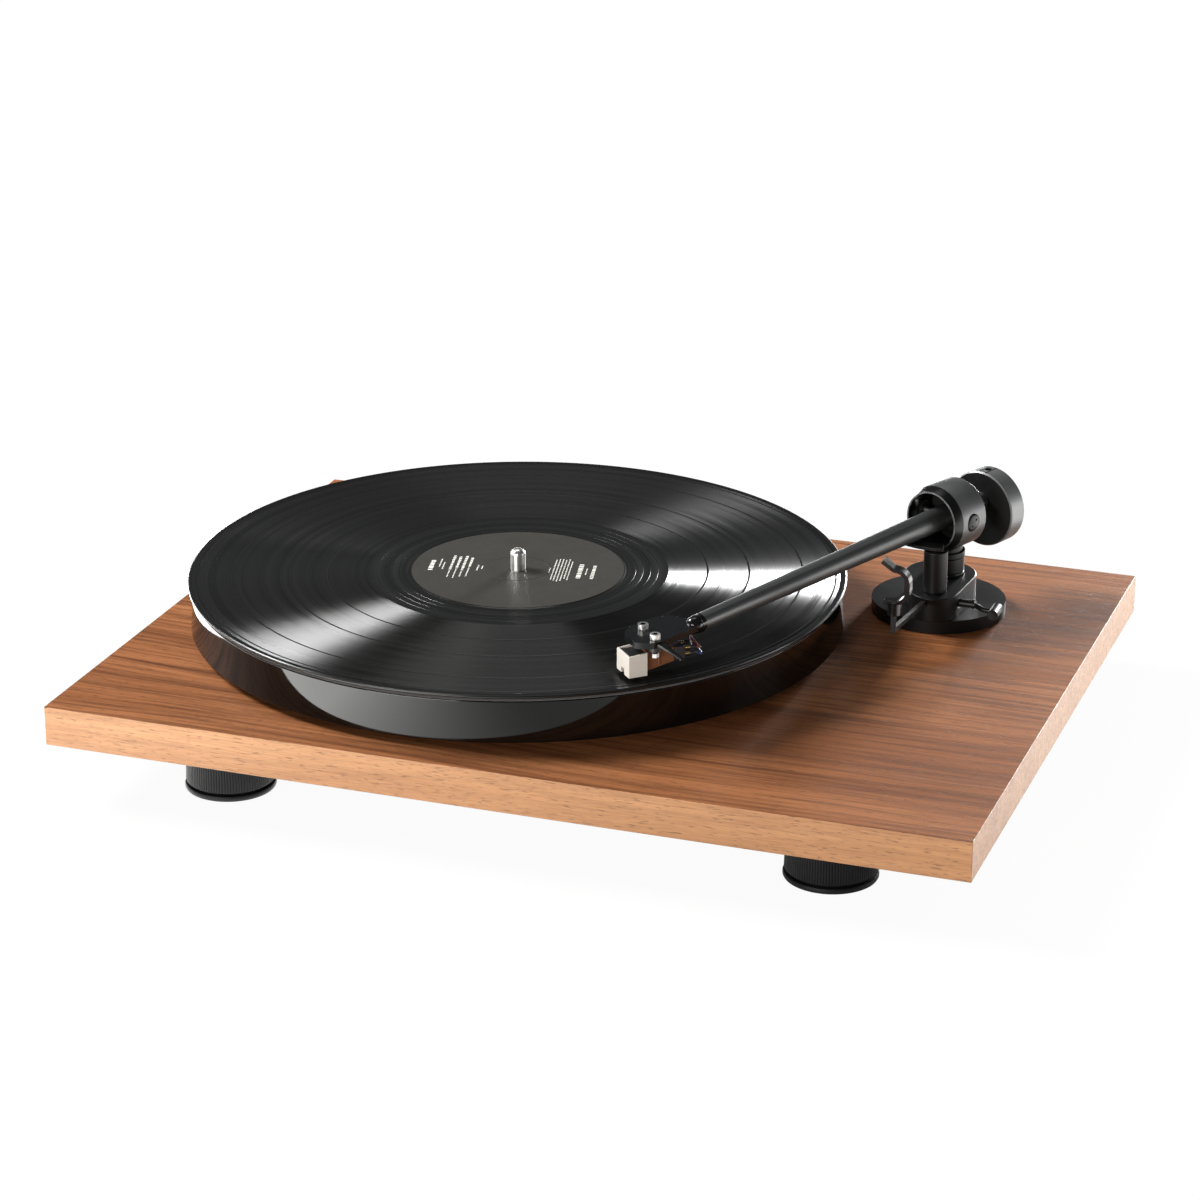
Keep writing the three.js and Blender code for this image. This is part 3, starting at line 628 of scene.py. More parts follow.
def make_feet():
    for name in ("front_left", "front_right", "rear_left", "rear_right"):
        low, high = extent("foot_" + name)
        pad_low, pad_high = extent("foot_pad_" + name)
        middle = (low + high) / 2
        at = Matrix.Translation(Vector((middle.x, middle.y, 0)) * MM) @ WORLD
        foot, pad = (high.x - low.x) / 2, (pad_high.x - pad_low.x) / 2
        slope = 0.7 / (high.z - low.z)  # the barrel narrows this much towards the plinth
        radius = lambda z: foot - slope * (z - low.z)
        rib_low, rib_high = low.z + 1.3, high.z - 2.2
        barrel = loft([
            ribbed_loop(foot - 1.6, low.z, 0),
            ribbed_loop(foot - 1.4, low.z + 0.5, 0),
            ribbed_loop(radius(rib_low - 0.4) - 0.5, rib_low - 0.4, 0),
            ribbed_loop(radius(rib_low) - 0.05, rib_low, RIB_DEPTH * 0.6),
            ribbed_loop(radius(rib_low + 0.4), rib_low + 0.4, RIB_DEPTH),
            ribbed_loop(radius(rib_high - 0.4), rib_high - 0.4, RIB_DEPTH),
            ribbed_loop(radius(rib_high) - 0.1, rib_high, RIB_DEPTH * 0.4),
            ribbed_loop(radius(rib_high) - 0.35, rib_high + 0.2, 0),
            ribbed_loop(radius(high.z) - 0.35, high.z - 0.3, 0),
            ribbed_loop(radius(high.z) - 0.7, high.z, 0),
        ])
        piece("foot_barrel_" + name, barrel, "foot_rubber", "base", ["foot_" + name], at,
              0,
              angle=50)
        sole = lathe([
            (0, 0.35), (6.0, 0.35), (6.5, 0), (pad - 1.2, 0), (pad - 0.35, 0.25), (pad, 0.9),
            (pad, pad_high.z - 0.9),
            (pad - 0.3, pad_high.z - 0.2), (pad - 0.9, pad_high.z), (0, pad_high.z),
        ], 128)
        piece("foot_sole_" + name, sole, "foot_rubber", "base", ["foot_pad_" + name], at,
              0.1, 2)


# ---- platter and record -----------------------------------------------------------------------
def make_platter():
    low, high = extent("platter", PLATTER)
    r = high.x
    hole, web, rim = 3.8, high.z - 7.2, r - 9
    profile = [(hole, web), (rim - 1.5, web), (rim, web - 1.5), (rim, low.z), (r, low.z),
               (r - 1.3, high.z), (hole, high.z)]
    piece("platter_disc", lathe(profile, 256), "platter_gloss", "platter_body",
          ["platter"],
          PLATTER, 0.5, 4)


def make_mat():
    low, high = extent("platter_mat", PLATTER)
    r, hole = high.x, 4.2
    loops = []
    for z, inset in ((low.z, 0.25), (low.z + 0.25, 0.0), (high.z - 0.25, 0.0), (high.z, 0.3)):
        fuzz = [random.uniform(-0.04, 0.0) for _ in range(360)]
        points = circle(1.0, z, 360)
        loops.append([(x * (r - inset + f), y * (r - inset + f), h) for (x, y, h),
                      f in zip(points, fuzz)])
    loops += [circle(hole, high.z, 360), circle(hole, low.z, 360)]
    mat = piece("felt_mat", loft(loops, closed=True), "mat_felt", "platter_body",
                ["platter_mat"],
                PLATTER, 0)


TRACK_GAPS = (87.0, 106.0, 130.6, 145.6)  # radii of the plain bands between tracks
LEAD_OUT = (54.2, 57.6, 61.0, 64.6)  # radii of the run-out groove's turns
DEAD_WAX = (50.5, 69.0)


def make_record():
    low, high = extent("record", PLATTER)
    r, top = high.x, high.z
    play = top - 0.35  # the playing area lies below the rim bead
    hole = 3.65
    profile = [
        (hole, play), (hole + 0.4, play + 0.1), (14.6, play + 0.1), (15.0, play - 0.06),
        (15.5, play - 0.06),
        (15.9, play + 0.1), (49.2, play + 0.1), (49.8, play - 0.12), (50.3, play - 0.1),
        (50.9, play + 0.06),
        (52.0, play),
    ]
    for turn in LEAD_OUT:
        profile += [(turn - 0.14, play), (turn, play - 0.07), (turn + 0.14, play)]
    profile += [(DEAD_WAX[1], play), (DEAD_WAX[1] + 0.4, play + 0.02)]
    for gap in TRACK_GAPS:
        profile += [(gap - 0.45, play + 0.02), (gap - 0.2, play - 0.06), (gap + 0.2, play - 0.06),
                    (gap + 0.45, play + 0.02)]
    bead = r - 2.2
    profile += [(bead - 2.1, play), (bead - 0.9, play + 0.08), (bead, top - 0.05), (bead + 0.6, top),
                (r - 0.7, top),
                (r - 0.2, top - 0.28), (r, top - 0.75), (r - 0.05, low.z + 0.75), (r - 0.4, low.z + 0.3),
                (bead, low.z), (60, low.z), (hole, low.z)]

    def kind(at, normal):
        radius = math.hypot(at.x, at.y)
        playing = DEAD_WAX[1] < radius < bead - 1.4
        gap = any(abs(radius - g) < 0.4 for g in TRACK_GAPS)
        run_out = any(abs(radius - g) < 0.2 for g in LEAD_OUT)
        return 1 if (playing and not gap) or run_out else 0

    looks = ["vinyl_plain", "vinyl_grooves"]
    piece("record_disc", lathe(profile, 288), looks, "platter_body", ["record"], PLATTER, 0,
          pick=kind, angle=3)
    label = lathe([(hole + 0.3, play + 0.12), (14.4, play + 0.12), (14.9, play + 0.02),
                   (15.6, play + 0.02),
                   (16.1, play + 0.12), (48.6, play + 0.12), (48.8, play + 0.19), (16.2, play + 0.19),
                   (15.7, play + 0.08), (14.8, play + 0.08), (14.3, play + 0.19),
                   (hole + 0.3, play + 0.19)], 192)
    piece("record_label", label, "label_paper", "platter_body", (), PLATTER, 0, angle=3)
    make_label_print(play + 0.19)


PRINT_TURN = -77.0  # the direction of the label's lines, in degrees from X
# Each row: a line's distance from the spindle, where it starts and ends along itself, and its weight.
PRINT_LINES = [
    (-40.0, -7, 6, 2.2), (-36.4, -9, 1, 0.6), (-34.6, -5, 4, 0.6), (-31.0, -14, 4, 1.3),
    (-31.0, 5, 14, 0.6),
    (-28.2, -13, 2, 1.3), (-28.2, 3, 15, 0.6), (-25.4, -14, 5, 1.3), (-25.4, 6, 13, 0.6),
    (-22.6, -12, 0, 1.3),
    (-22.6, 1, 12, 0.6), (-18.6, -3, 4, 0.7), (-16.6, -2, 2, 0.6), (14.6, -3, 3, 0.5),
    (16.4, -14, 12, 0.55),
    (17.9, -15, 13, 0.55), (19.4, -15, 14, 0.55), (20.9, -14, 13, 0.55), (22.4, -15, 10, 0.55),
    (23.9, -12, 12, 0.55),
    (28.6, -9, 9, 2.2), (31.6, -4, 4, 0.6), (34.8, -8, 9, 1.7),
]


def make_label_print(z):
    """Rows of short plain bars, standing in for a label's printed lines."""
    bars = []
    for across_mm, start, end, weight in PRINT_LINES:
        at = start
        while at < end:
            length = min(random.uniform(0.7, 2.6) * (0.5 + 0.5 * weight), end - at)
            half = weight / 2 * random.uniform(0.8, 1.0)
            bars.append(block((at, across_mm - half, z),
                              (at + max(length, 0.3), across_mm + half, z + 0.03)))
            at += length + 0.25 + 0.2 * weight
    turn = Matrix.Rotation(math.radians(PRINT_TURN), 4, "Z")
    piece("label_print", moved(joined(*bars), turn), "print_white", "platter_body", (), PLATTER,
          0)


def make_spindle():
    low, high = extent("platter_shaft", PLATTER)
    step = extent("sub_platter", PLATTER)[1].z
    radius, shaft = 3.55, high.x
    dome = [(radius * math.cos(a),
             high.z - 2.6 + 2.6 * math.sin(a)) for a in (math.radians(9 * i) for i in range(10))]
    profile = [(0, low.z), (shaft - 0.4, low.z), (shaft, low.z + 0.4), (shaft, step - 0.6),
               (radius, step)]
    profile += dome + [(0, high.z)]
    piece("spindle_shaft", lathe(profile, 64), "bright_steel", "platter_body",
          ["platter_shaft"], PLATTER, 0, angle=50)


# ---- tonearm base -----------------------------------------------------------------------------
def upright(node):
    """A frame on the ground under a node's middle, and the node's radius, foot and top."""
    low, high = extent(node)
    middle = Vector(((low.x + high.x) / 2, (low.y + high.y) / 2, 0))
    return Matrix.Translation(middle * MM) @ WORLD, (high.x - low.x) / 2, low.z, high.z


def make_arm_base():
    at, r, low, high = upright("arm_base_disc")
    post_at, post_r, post_low, post_high = upright("arm_post")
    bore = cylinder(post_r + 0.1, low - 3, low + 40, 64)
    offset = (post_at.translation - at.translation) / MM
    disc = lathe([(0, low), (r - 0.3, low), (r, low + 0.3), (r, high), (0, high)], 160)
    piece("arm_disc", disc, "satin_black", "base", ["arm_base_disc"], at, 0.7, 4,
          cuts=[shift(bore, offset.x, offset.y)])
    block_low, block_high = extent("arm_base_block")
    front = extent("lift_column")
    fx, fy = (front[0].x + front[1].x) / 2, (front[0].y + front[1].y) / 2
    fr = fy - block_low.y
    rear_r = (block_high.x - block_low.x) / 2
    rear = (block_high.x - rear_r, block_high.y - rear_r, rear_r)
    body = prism(two_circle_outline(rear, (fx, fy, fr)), block_low.z, block_high.z)
    lever = extent("lift_lever")
    axle = cylinder(2.05, 0, 30, 32)
    axle = shift(moved(axle, ALONG_X), lever[0].x - 0.4, LEVER_AXIS.y, LEVER_AXIS.z)
    hole = shift(bore, post_at.translation.x / MM, post_at.translation.y / MM)
    piece("arm_block", body, "satin_black", "base", ["arm_base_block"], WORLD, 0.45, 4,
          cuts=[hole, axle])
    post = lathe([(post_r - 3.1, post_low), (post_r, post_low), (post_r, block_high.z + 1.0),
                  (post_r - 0.25, block_high.z + 1.25), (post_r - 0.25, block_high.z + 1.7),
                  (post_r, block_high.z + 1.95), (post_r, post_high), (post_r - 3.1, post_high)], 96)
    piece("arm_pillar", post, "satin_black", "base", ["arm_post"], post_at, 0.35, 3)


def make_lift():
    at, r, low, high = upright("lift_column")
    column = lathe([(2.75, low), (r, low), (r, high - 0.1), (2.75, high - 0.1)], 64)
    piece("lift_tower", column, "satin_black", "base", ["lift_column"], at, 0.4, 3)
    bar_low, bar_high = extent("lift_bar")
    pivot_mm = pivot / MM
    inner, outer, thick = 21.0, 28.0, 1.6
    start, end = -145, -78
    outline = arc(0, 0, outer, start, end, 40) + arc(0, 0, inner, end, start, 40)
    bar = shift(prism(outline, bar_high.z - thick, bar_high.z), pivot_mm.x, pivot_mm.y)
    stem_at = at.translation / MM
    stem = shift(cylinder(2.5, bar_low.z, bar_high.z - 0.4, 48),
                 stem_at.x, stem_at.y)
    piece("lift_arc", bar, "satin_black", "lift_bar_body", ["lift_bar"], WORLD, 0.5, 3,
          adds=[stem])


def make_lever():
    low, high = extent("lift_lever")
    y, z = LEVER_AXIS.y, LEVER_AXIS.z
    grip_x, grip_y, grip_z = high.x - 2.5, y - 3.5, z - 1.0
    axle_end = low.x + 13.5
    axle = shift(moved(lathe([(0, 0), (1.8, 0), (1.8, axle_end - low.x - 1.4),
                              (2.2, axle_end - low.x - 1.4),
                              (2.2, axle_end - low.x), (0, axle_end - low.x)], 40), ALONG_X), low.x, y, z)
    bend = [(axle_end - 1.5, y, z), (axle_end + 1.2, y - 1.4, z - 0.25),
            (axle_end + 4.6, y - 3.2, z - 0.7),
            (grip_x - 0.6, grip_y, grip_z)]
    crank = sweep(smooth_path(bend, 8), 1.15, 24)
    handle = shift(moved(lathe([(0, -5), (1.7, -5), (1.7, -4.6), (2.5, -4.6), (2.5, 5), (0, 5)], 48),
                         ALONG_Y),
                   grip_x, grip_y, grip_z)
    piece("cue_lever", axle, "satin_black", "lift_lever_body", ["lift_lever"], WORLD, 0.3,
          3,
          adds=[crank, handle])


def make_arm_rest():
    low, high = extent("arm_rest_bracket")
    stem_x, y = high.x - 1.0, (low.y + 1.0)
    start = Vector((131.2, high.y - 0.5, low.z + 1.3))
    elbow = Vector((stem_x, y, 67.4))
    blade = 1.0
    along = (elbow - start).normalized()
    down = UP.cross(along).cross(along).normalized() * 1.1
    side = Vector((1, 0, 0)) * blade
    corner = lambda p: [p + side + down, p - side + down, p - side - down, p + side - down]
    arm = loft([corner(start), corner(elbow)])
    post = block((stem_x - 1, y - 1, elbow.z - 1.1), (stem_x + 1, y + 1.2, high.z))
    piece("rest_bracket", arm, "satin_black", "base", ["arm_rest_bracket"], WORLD, 0.22, 2,
          adds=[post])
    clip_low, clip_high = extent("arm_rest_clip")
    bore, wall, rise, depth = 5.1, 1.8, 3.1, 5.0
    x, z = stem_x + 0.6, 87.0
    mid_y = (clip_low.y + clip_high.y) / 2
    middle = bore + wall / 2
    flare = math.radians(148)
    lip_start = (0, rise + middle)
    lip_end = (7 * math.cos(flare), lip_start[1] + 7 * math.sin(flare))
    centreline = [(-4.6, -middle - 0.3)] + arc(0, 0, middle, 270, 360, 20) + arc(0, rise, middle, 0, 90,
                                                                                 20)
    centreline += curve_to(lip_start, (-0.8, lip_start[1] + 0.1), (-1.6, lip_start[1] + 0.75),
                           4) + [lip_end]
    hook = prism(strip(centreline, wall), -depth / 2, depth / 2)
    hook = moved(hook, Matrix.Rotation(math.radians(90), 4, "X"))
    hook = shift(hook, x, mid_y, z)
    neck_top = z - bore - wall / 2
    neck = shift(cylinder(3, clip_low.z, neck_top, 40), x - 0.4, mid_y)
    piece("rest_clip", hook, "shell_black", "base", ["arm_rest_clip"], WORLD, 0.3, 3,
          adds=[neck], angle=40)


# ---- tonearm ----------------------------------------------------------------------------------
def make_bearing_ring():
    low, high = extent("bearing_ring", YAW)
    r, front, rear = high.z, low.y, high.y
    bore, nose, tail = r - 2.55, 4.1, 2.4
    profile = [(bore, front), (bore + 0.8, front), (r, front + nose), (r, rear - tail), (bore + 1, rear),
               (bore, rear)]
    hole = shift(moved(cylinder(4.3, -20, 20, 64), ALONG_X))

    def part(at, normal):
        radius = math.hypot(at.x, at.z)
        if radius < bore + 0.1:
            return 1
        if normal.y < -0.9:
            return 0
        if at.y < front + nose - 0.1:
            return 1
        return 2 if at.y > rear - tail + 0.1 else 0

    looks = ["ring_grey", "chamfer_black", "ring_bright"]
    piece("arm_ring", moved(lathe(profile, 128), ALONG_Y), looks, "arm_yaw_body",
          ["bearing_ring"], YAW,
          0.25, 3, cuts=[hole], pick=part)


def make_ring_baffle():
    """A dark shield near the back of the ring, with a hole for the tube."""
    high = extent("bearing_ring", YAW)[1]
    r = high.z - 2.55
    shield = moved(cylinder(r, high.y - 6.0, high.y - 4.4, 96), ALONG_Y)
    hole = moved(cylinder(6.6, -5, 30, 64), ALONG_Y)
    piece("ring_shield", shield, "chamfer_black", "arm_yaw_body", (), YAW, 0.15, 2,
          cuts=[shift(hole, z=tube_axis())])


def make_pivot_caps():
    for side, sign in (("right", 1), ("left", -1)):
        low, high = extent("pivot_cap_" + side, YAW)
        outer = max(abs(low.x), abs(high.x))
        inner = min(abs(low.x), abs(high.x))
        cap = lathe([(0, outer - 2.1), (1.35, outer - 2.1), (1.35, inner), (3.95, inner),
                     (3.95, outer - 0.5),
                     (3.2, outer - 0.05), (0, outer)], 64)
        cap = moved(cap, ALONG_X if sign > 0 else ALONG_X @ Matrix.Rotation(math.pi, 4, "X"))
        holes = []
        for at in (-1.9, 1.9):
            pin = moved(cylinder(0.55, 0, 4, 24), ALONG_X)
            holes.append(shift(pin, sign * (outer - 1.4) - (4 if sign < 0 else 0), at * 0.7, at * 0.7))
        piece("bearing_cap_" + side, cap, "satin_black", "arm_yaw_body",
              ["pivot_cap_" + side],
              YAW, 0.2, 3, cuts=holes)


def make_yoke():
    low = extent("arm_yoke", YAW)[0]
    ring_r = extent("bearing_ring", YAW)[1].z + 0.3
    flange = 2.4
    body = lathe([(0, low.z), (9.2, low.z), (9.2, low.z + flange), (8.0, low.z + flange),
                  (8.0, low.z + 8),
                  (0, low.z + 8)], 96)
    saddle = moved(cylinder(ring_r, -20, 20, 128), ALONG_Y)
    piece("arm_saddle", body, "satin_black", "arm_yaw_body", ["arm_yoke"], YAW, 0.35, 3,
          cuts=[saddle])


def tube_axis():
    """How far the tube's axis lies above the pivot; below is negative."""
    low, high = extent("tube_collar", ARM)
    return (low.z + high.z) / 2


def make_tube():
    low, high = extent("arm_tube", ARM)
    length, stub_end = -low.y, high.y
    drop = tube_axis()
    root, tip, stub, bore = 5.5, 4.0, 4.0, 2.6
    taper = [(root + (tip - root) * i / 8, -12 - (length - 12) * i / 8) for i in range(9)][::-1]
    profile = [(bore, -length), *taper, (root, 12), (stub, 13.5), (stub, stub_end), (bore, stub_end)]
    cross = moved(cylinder(1.35, -10, 10, 32), ALONG_X)
    tube = shift(moved(lathe(profile, 96), ALONG_Y), z=drop)
    piece("tonearm_tube", tube, "tube_black", "arm_body", ["arm_tube"], ARM, 0.3, 3,
          cuts=[cross])
    c_low, c_high = extent("tube_collar", ARM)
    r = (c_high.x - c_low.x) / 2
    collar = lathe([(3.0, c_low.y), (r, c_low.y), (r, c_low.y + 0.9), (r - 0.25, c_low.y + 1.1),
                    (r, c_low.y + 1.3),
                    (r, c_high.y), (3.0, c_high.y)], 96)
    piece("tonearm_collar", shift(moved(collar, ALONG_Y), z=drop), "shell_black", "arm_body",
          ["tube_collar"], ARM, 0.15, 2)


def make_counterweight():
    low, high = extent("counterweight", ARM)
    r = (high.x - low.x) / 2
    drop = (high.z + low.z) / 2
    front, rear = low.y, high.y
    body = lathe([(0, front), (r - 0.6, front), (r, front + 0.6), (r, rear - 1.2), (r - 1.2, rear),
                  (0, rear)], 160)
    body = shift(moved(body, ALONG_Y), z=drop)
    bore = shift(moved(cylinder(4.15, front - 5, rear + 5, 64), ALONG_Y),
                 z=tube_axis())
    middle = (front + rear) / 2
    well = shift(cylinder(1.7, 0, 8, 40), 0, middle, drop + r - 3.0)

    def part(at, normal):
        end_face = abs(normal.y) > 0.8
        in_bore = math.hypot(at.x, at.z) < 4.4
        # End faces and bore are black; the set-screw well's black walls are painted shade in the hole.
        shaded_well = math.hypot(at.x, at.y - middle) < 1.9
        return int(end_face or in_bore or shaded_well)

    looks = ["ring_grey", "chamfer_black"]
    piece("balance_weight", body, looks, "counterweight_body", ["counterweight"], ARM, 0.3,
          3,
          cuts=[bore, well], pick=part)
    top = drop + r - 0.9
    screw = shift(cylinder(1.55, top - 2, top, 40), 0, middle)
    socket = shift(prism(circle_outline(0.8, 6), top - 1.2, top + 1), 0, middle)
    piece("weight_screw", screw, "bright_steel", "counterweight_body", (), ARM, 0.15, 2,
          cuts=[socket])


def circle_outline(radius, sides):
    return [(x, y) for x, y, _ in circle(radius, 0, sides)]


# ---- headshell and cartridge ------------------------------------------------------------------
def shell_outline():
    outline = [(-1.4, 24.6), (9.4, 3.4), (10.3, -1.3)]
    outline += curve_to((10.3, -1.3), (10.2, -6), (6.5, -9.6)) + [(-5, -9.2)]
    outline += curve_to((-5, -9.2), (-10, -7), (-13, 1)) + curve_to((-13, 1), (-17.4, 9), (-16.6, 15.5))
    outline += curve_to((-16.6, 15.5), (-15.5, 19.6), (-8.1, 21.4))
    return outline


SCREW_SPACING = (screw_right - screw_left).length / MM
SCREW_HOLE = 1.35


def screw_holes(low, high):
    hole = cylinder(SCREW_HOLE, low, high, 32)
    return [shift(hole, sign * SCREW_SPACING / 2) for sign in (-1, 1)]


def make_headshell():
    top = extent("cartridge_screw_left", SHELL)[1].z - 2.4
    thick = 2.8
    plate = prism(shell_outline(), top - thick, top)
    piece("shell_plate", plate, "shell_black", "arm_body", ["headshell"], SHELL, 0.4, 3,
          cuts=screw_holes(top - 9, top + 9), angle=28)
    end = extent("tube_collar", ARM)[0].y - 0.2
    shoulder = [(0, end - 4.6), (1.3, end - 4.5), (2.4, end - 4.1), (3.2, end - 3.3), (3.7, end - 2.3),
                (3.95, end - 1.0), (3.95, end), (0, end)]
    neck = lathe(shoulder, 96)
    piece("shell_neck", shift(moved(neck, ALONG_Y), z=tube_axis()), "shell_black", "arm_body",
          (), ARM, 0.15, 2,
          angle=40)
    lift_low, lift_high = extent("finger_lift", SHELL)
    loops = []
    for i in range(9):
        t = i / 8
        x = lift_low.x + (lift_high.x - lift_low.x) * t
        z = top - 0.6 - 4.0 * t
        y_front, y_rear = -1.0 + 6.2 * t**0.8, 3.1 + 3.8 * t
        thickness = 1.5 - 0.5 * t
        loops.append([(x, y_front, z - thickness), (x, y_rear, z - thickness), (x, y_rear, z),
                      (x, y_front, z)])
    piece("finger_tab", loft(loops), "shell_black", "arm_body", ["finger_lift"], SHELL,
          0.28, 3,
          angle=40)


def make_cartridge_screws():
    for side, sign in (("left", -1), ("right", 1)):
        low, high = extent("cartridge_screw_" + side, SHELL)
        x = sign * SCREW_SPACING / 2
        head = high.z - 2.3
        screw = lathe([(0, low.z), (0.8, low.z), (1.1, low.z + 0.3), (1.1, head), (2.3, head),
                       (2.3, high.z),
                       (0, high.z)], 64)
        socket = prism(circle_outline(1.25, 6), high.z - 1.4, high.z + 1)
        # The socket's faces take the black material: painted shade in the recess.
        shaded_socket = lambda at, normal, x=x: int(math.hypot(at.x - x, at.y) < 1.3 and at.z < high.z - 0.1)
        piece("shell_screw_" + side, shift(screw, x), ["bright_steel", "chamfer_black"], "arm_body",
              ["cartridge_screw_" + side], SHELL, 0.22, 3, cuts=[shift(socket, x)],
              pick=shaded_socket)
        nut = prism(circle_outline(1.75, 6), low.z + 0.5, low.z + 2.4)
        hole = cylinder(1.15, low.z - 1, low.z + 4, 32)
        piece("shell_nut_" + side, shift(nut, x), "bright_steel", "arm_body", (), SHELL,
              0.12,
              2, cuts=[shift(hole, x)])


def six_faces(corner):
    """A block with slanted faces: corner(right, rear, up) is the place of each of its corners."""
    loops = [[corner(r, b, up) for r, b in ((0, 0), (1, 0), (1, 1), (0, 1))] for up in (0, 1)]
    return loft(loops)


def make_cartridge():
    low, high = extent("cartridge_mount", SHELL)
    half = SCREW_SPACING / 2
    ear = high.x - half
    outline = arc(half, 0, ear, -90, 90, 20) + arc(-half, 0, ear, 90, 270, 20)
    piece("cartridge_ears", prism(outline, low.z, high.z), "jack_black", "arm_body",
          ["cartridge_mount"], SHELL, 0.3, 3, cuts=screw_holes(low.z - 3, high.z + 3))
    low, high = extent("cartridge_body", SHELL)

    def body(right, rear, up):
        x = high.x - 0.7 if rear else high.x
        z = low.z + 2.4 if rear else low.z
        return (x if right else -x, high.y if rear else low.y, high.z if up else z)

    piece("cartridge_case", six_faces(body), "copper_plastic", "arm_body",
          ["cartridge_body"], SHELL, 0.35, 3)
    ridge_low, ridge_high = Vector((-high.x - 0.12, 2.2, low.z + 2.2)), Vector((high.x + 0.12, 3.0,
                                                                                high.z - 0.2))
    piece("cartridge_band", block(ridge_low, ridge_high), "copper_plastic", "arm_body",
          (),
          SHELL, 0.2, 2)
    low, high = extent("stylus_block", SHELL)

    def guard(right, rear, up):
        z = (high.z if rear else high.z - 0.9) if up else low.z
        return (high.x if right else low.x, high.y if rear else low.y, z)

    notch = block((-1.6, low.y - 4, low.z - 4), (1.6, high.y - 2.6, low.z + 2.6))
    slot = block((low.x + 1.0, low.y + 1.0, high.z - 1.3), (high.x - 1.0, high.y + 3, high.z + 2))
    piece("stylus_guard", six_faces(guard), "white_plastic", "arm_body",
          ["stylus_block"],
          SHELL, 0.45, 4, cuts=[notch, slot])
    inset = block((low.x + 1.1, low.y + 1.1, high.z - 2.6), (high.x - 1.1, high.y - 0.2, high.z - 1.15))
    piece("stylus_inset", inset, "jack_black", "arm_body", (), SHELL, 0.2, 2)


LEADS = ("jack_black", "lead_blue", "print_white", "lead_red")


def make_terminals():
    low, high = extent("terminal_block", SHELL)
    piece("cartridge_rear", block(low, high), "jack_black", "arm_body", ["terminal_block"],
          SHELL, 0.3, 3)
    back = SHELL.inverted() @ ARM
    neck = back @ Vector((0, extent("tube_collar", ARM)[0].y - 4.5, -3.4))
    for i, colour in enumerate(LEADS):
        x = (-3.0, 3.0)[i % 2]
        z = (low.z + 1.6, high.z - 1.5)[i // 2]
        sleeve_end = high.y + 4.6
        pin = sweep([(x, high.y - 0.5, z), (x, sleeve_end + 0.2, z)], 0.45, 20)
        clip = sweep([(x, high.y + 0.8, z), (x, sleeve_end - 1.6, z)], 0.75, 24)
        sleeve = sweep([(x, sleeve_end - 2.0, z), (x, sleeve_end + 0.6, z)], 0.95, 20)
        piece("terminal_pin_%d" % (i + 1), pin, "brass", "arm_body", (), SHELL, 0.1, 2)
        piece("terminal_clip_%d" % (i + 1), clip, "brass", "arm_body", (), SHELL, 0.15, 2)
        piece("terminal_sleeve_%d" % (i + 1), sleeve, "jack_black", "arm_body", (), SHELL,
              0.2, 2)
        sag = (1.4, 2.2, 0.6, 1.2)[i]
        swing = (-2.4, 3.0, -1.0, 1.8)[i]
        path = [(x, sleeve_end - 0.6, z), (x + swing * 0.3, sleeve_end + 1.8, z - 0.3),
                (x + swing, (sleeve_end + neck.y) / 2 + 1.6, (z + neck.z) / 2 - sag),
                (neck.x + (i - 1.5) * 1.0 + swing * 0.3, neck.y + 0.6, neck.z - 1.6),
                (neck.x + (i - 1.5) * 0.9, neck.y, neck.z)]
        piece("arm_lead_%d" % (i + 1), sweep(smooth_path(path, 10), 0.45, 14), colour, "arm_body",
              (), SHELL, 0)


# ---- connectors at the back -------------------------------------------------------------------
def facing_back(low, high):
    """A frame at the front of a connector whose Z axis points out of the back."""
    middle = (low + high) / 2
    return Matrix.Translation(Vector((middle.x, low.y, middle.z)) * MM) @ WORLD @ ALONG_Y


def make_connectors():
    for name, ring_look in (("rca_jack_left", "print_white"), ("rca_jack_right", "jack_red")):
        low, high = extent(name)
        at = facing_back(low, high)
        r, length = (high.x - low.x) / 2, high.y - low.y
        barrel = lathe([(2.2, 0), (r, 0), (r, 1.2), (r - 0.45, 1.5), (r - 0.45, length),
                        (r - 1.0, length),
                        (r - 1.0, 2.5), (2.2, 2.5)], 64)
        piece(name + "_shell", barrel, "zinc_steel", "base", [name], at, 0.15, 2)
        inner = lathe([(1.7, 0.5), (r - 1.15, 0.5), (r - 1.15, length - 0.6), (1.7, length - 0.6)], 64)
        piece(name + "_insulator", inner, ring_look, "base", (), at, 0.15, 2)
    low, high = extent("ground_post")
    at = facing_back(low, high)
    r, length = (high.x - low.x) / 2, high.y - low.y
    knurl = lambda h: [(x * (r - 0.22 * (i % 2)), y * (r - 0.22 * (i % 2)), h)
                       for i, (x, y, _) in enumerate(circle(1, 0, 60))]
    nut = loft([circle(r - 0.9, 0, 60), circle(r - 0.9, 2.0, 60), knurl(2.3), knurl(length - 1.2),
                circle(r - 0.8, length - 0.9, 60), circle(1.2, length - 0.8, 60),
                circle(1.2, length, 60)])
    piece("ground_nut", nut, "brass", "base", ["ground_post"], at, 0, angle=25)
    low, high = extent("dc_inlet")
    middle = (low + high) / 2
    socket = shift(moved(cylinder(2.95, 1.5, 20, 48), ALONG_Y), middle.x, low.y, middle.z)
    piece("power_socket", block(low, high), "jack_black", "base", ["dc_inlet"], WORLD, 0.35,
          3,
          cuts=[socket])
    pin = shift(moved(lathe([(0, 1.4), (1.0, 1.4), (1.0, 7.0), (0.6, 7.6), (0, 7.6)], 32), ALONG_Y),
                middle.x, low.y, middle.z)
    piece("power_pin", pin, "bright_steel", "base", (), WORLD, 0.1, 2)


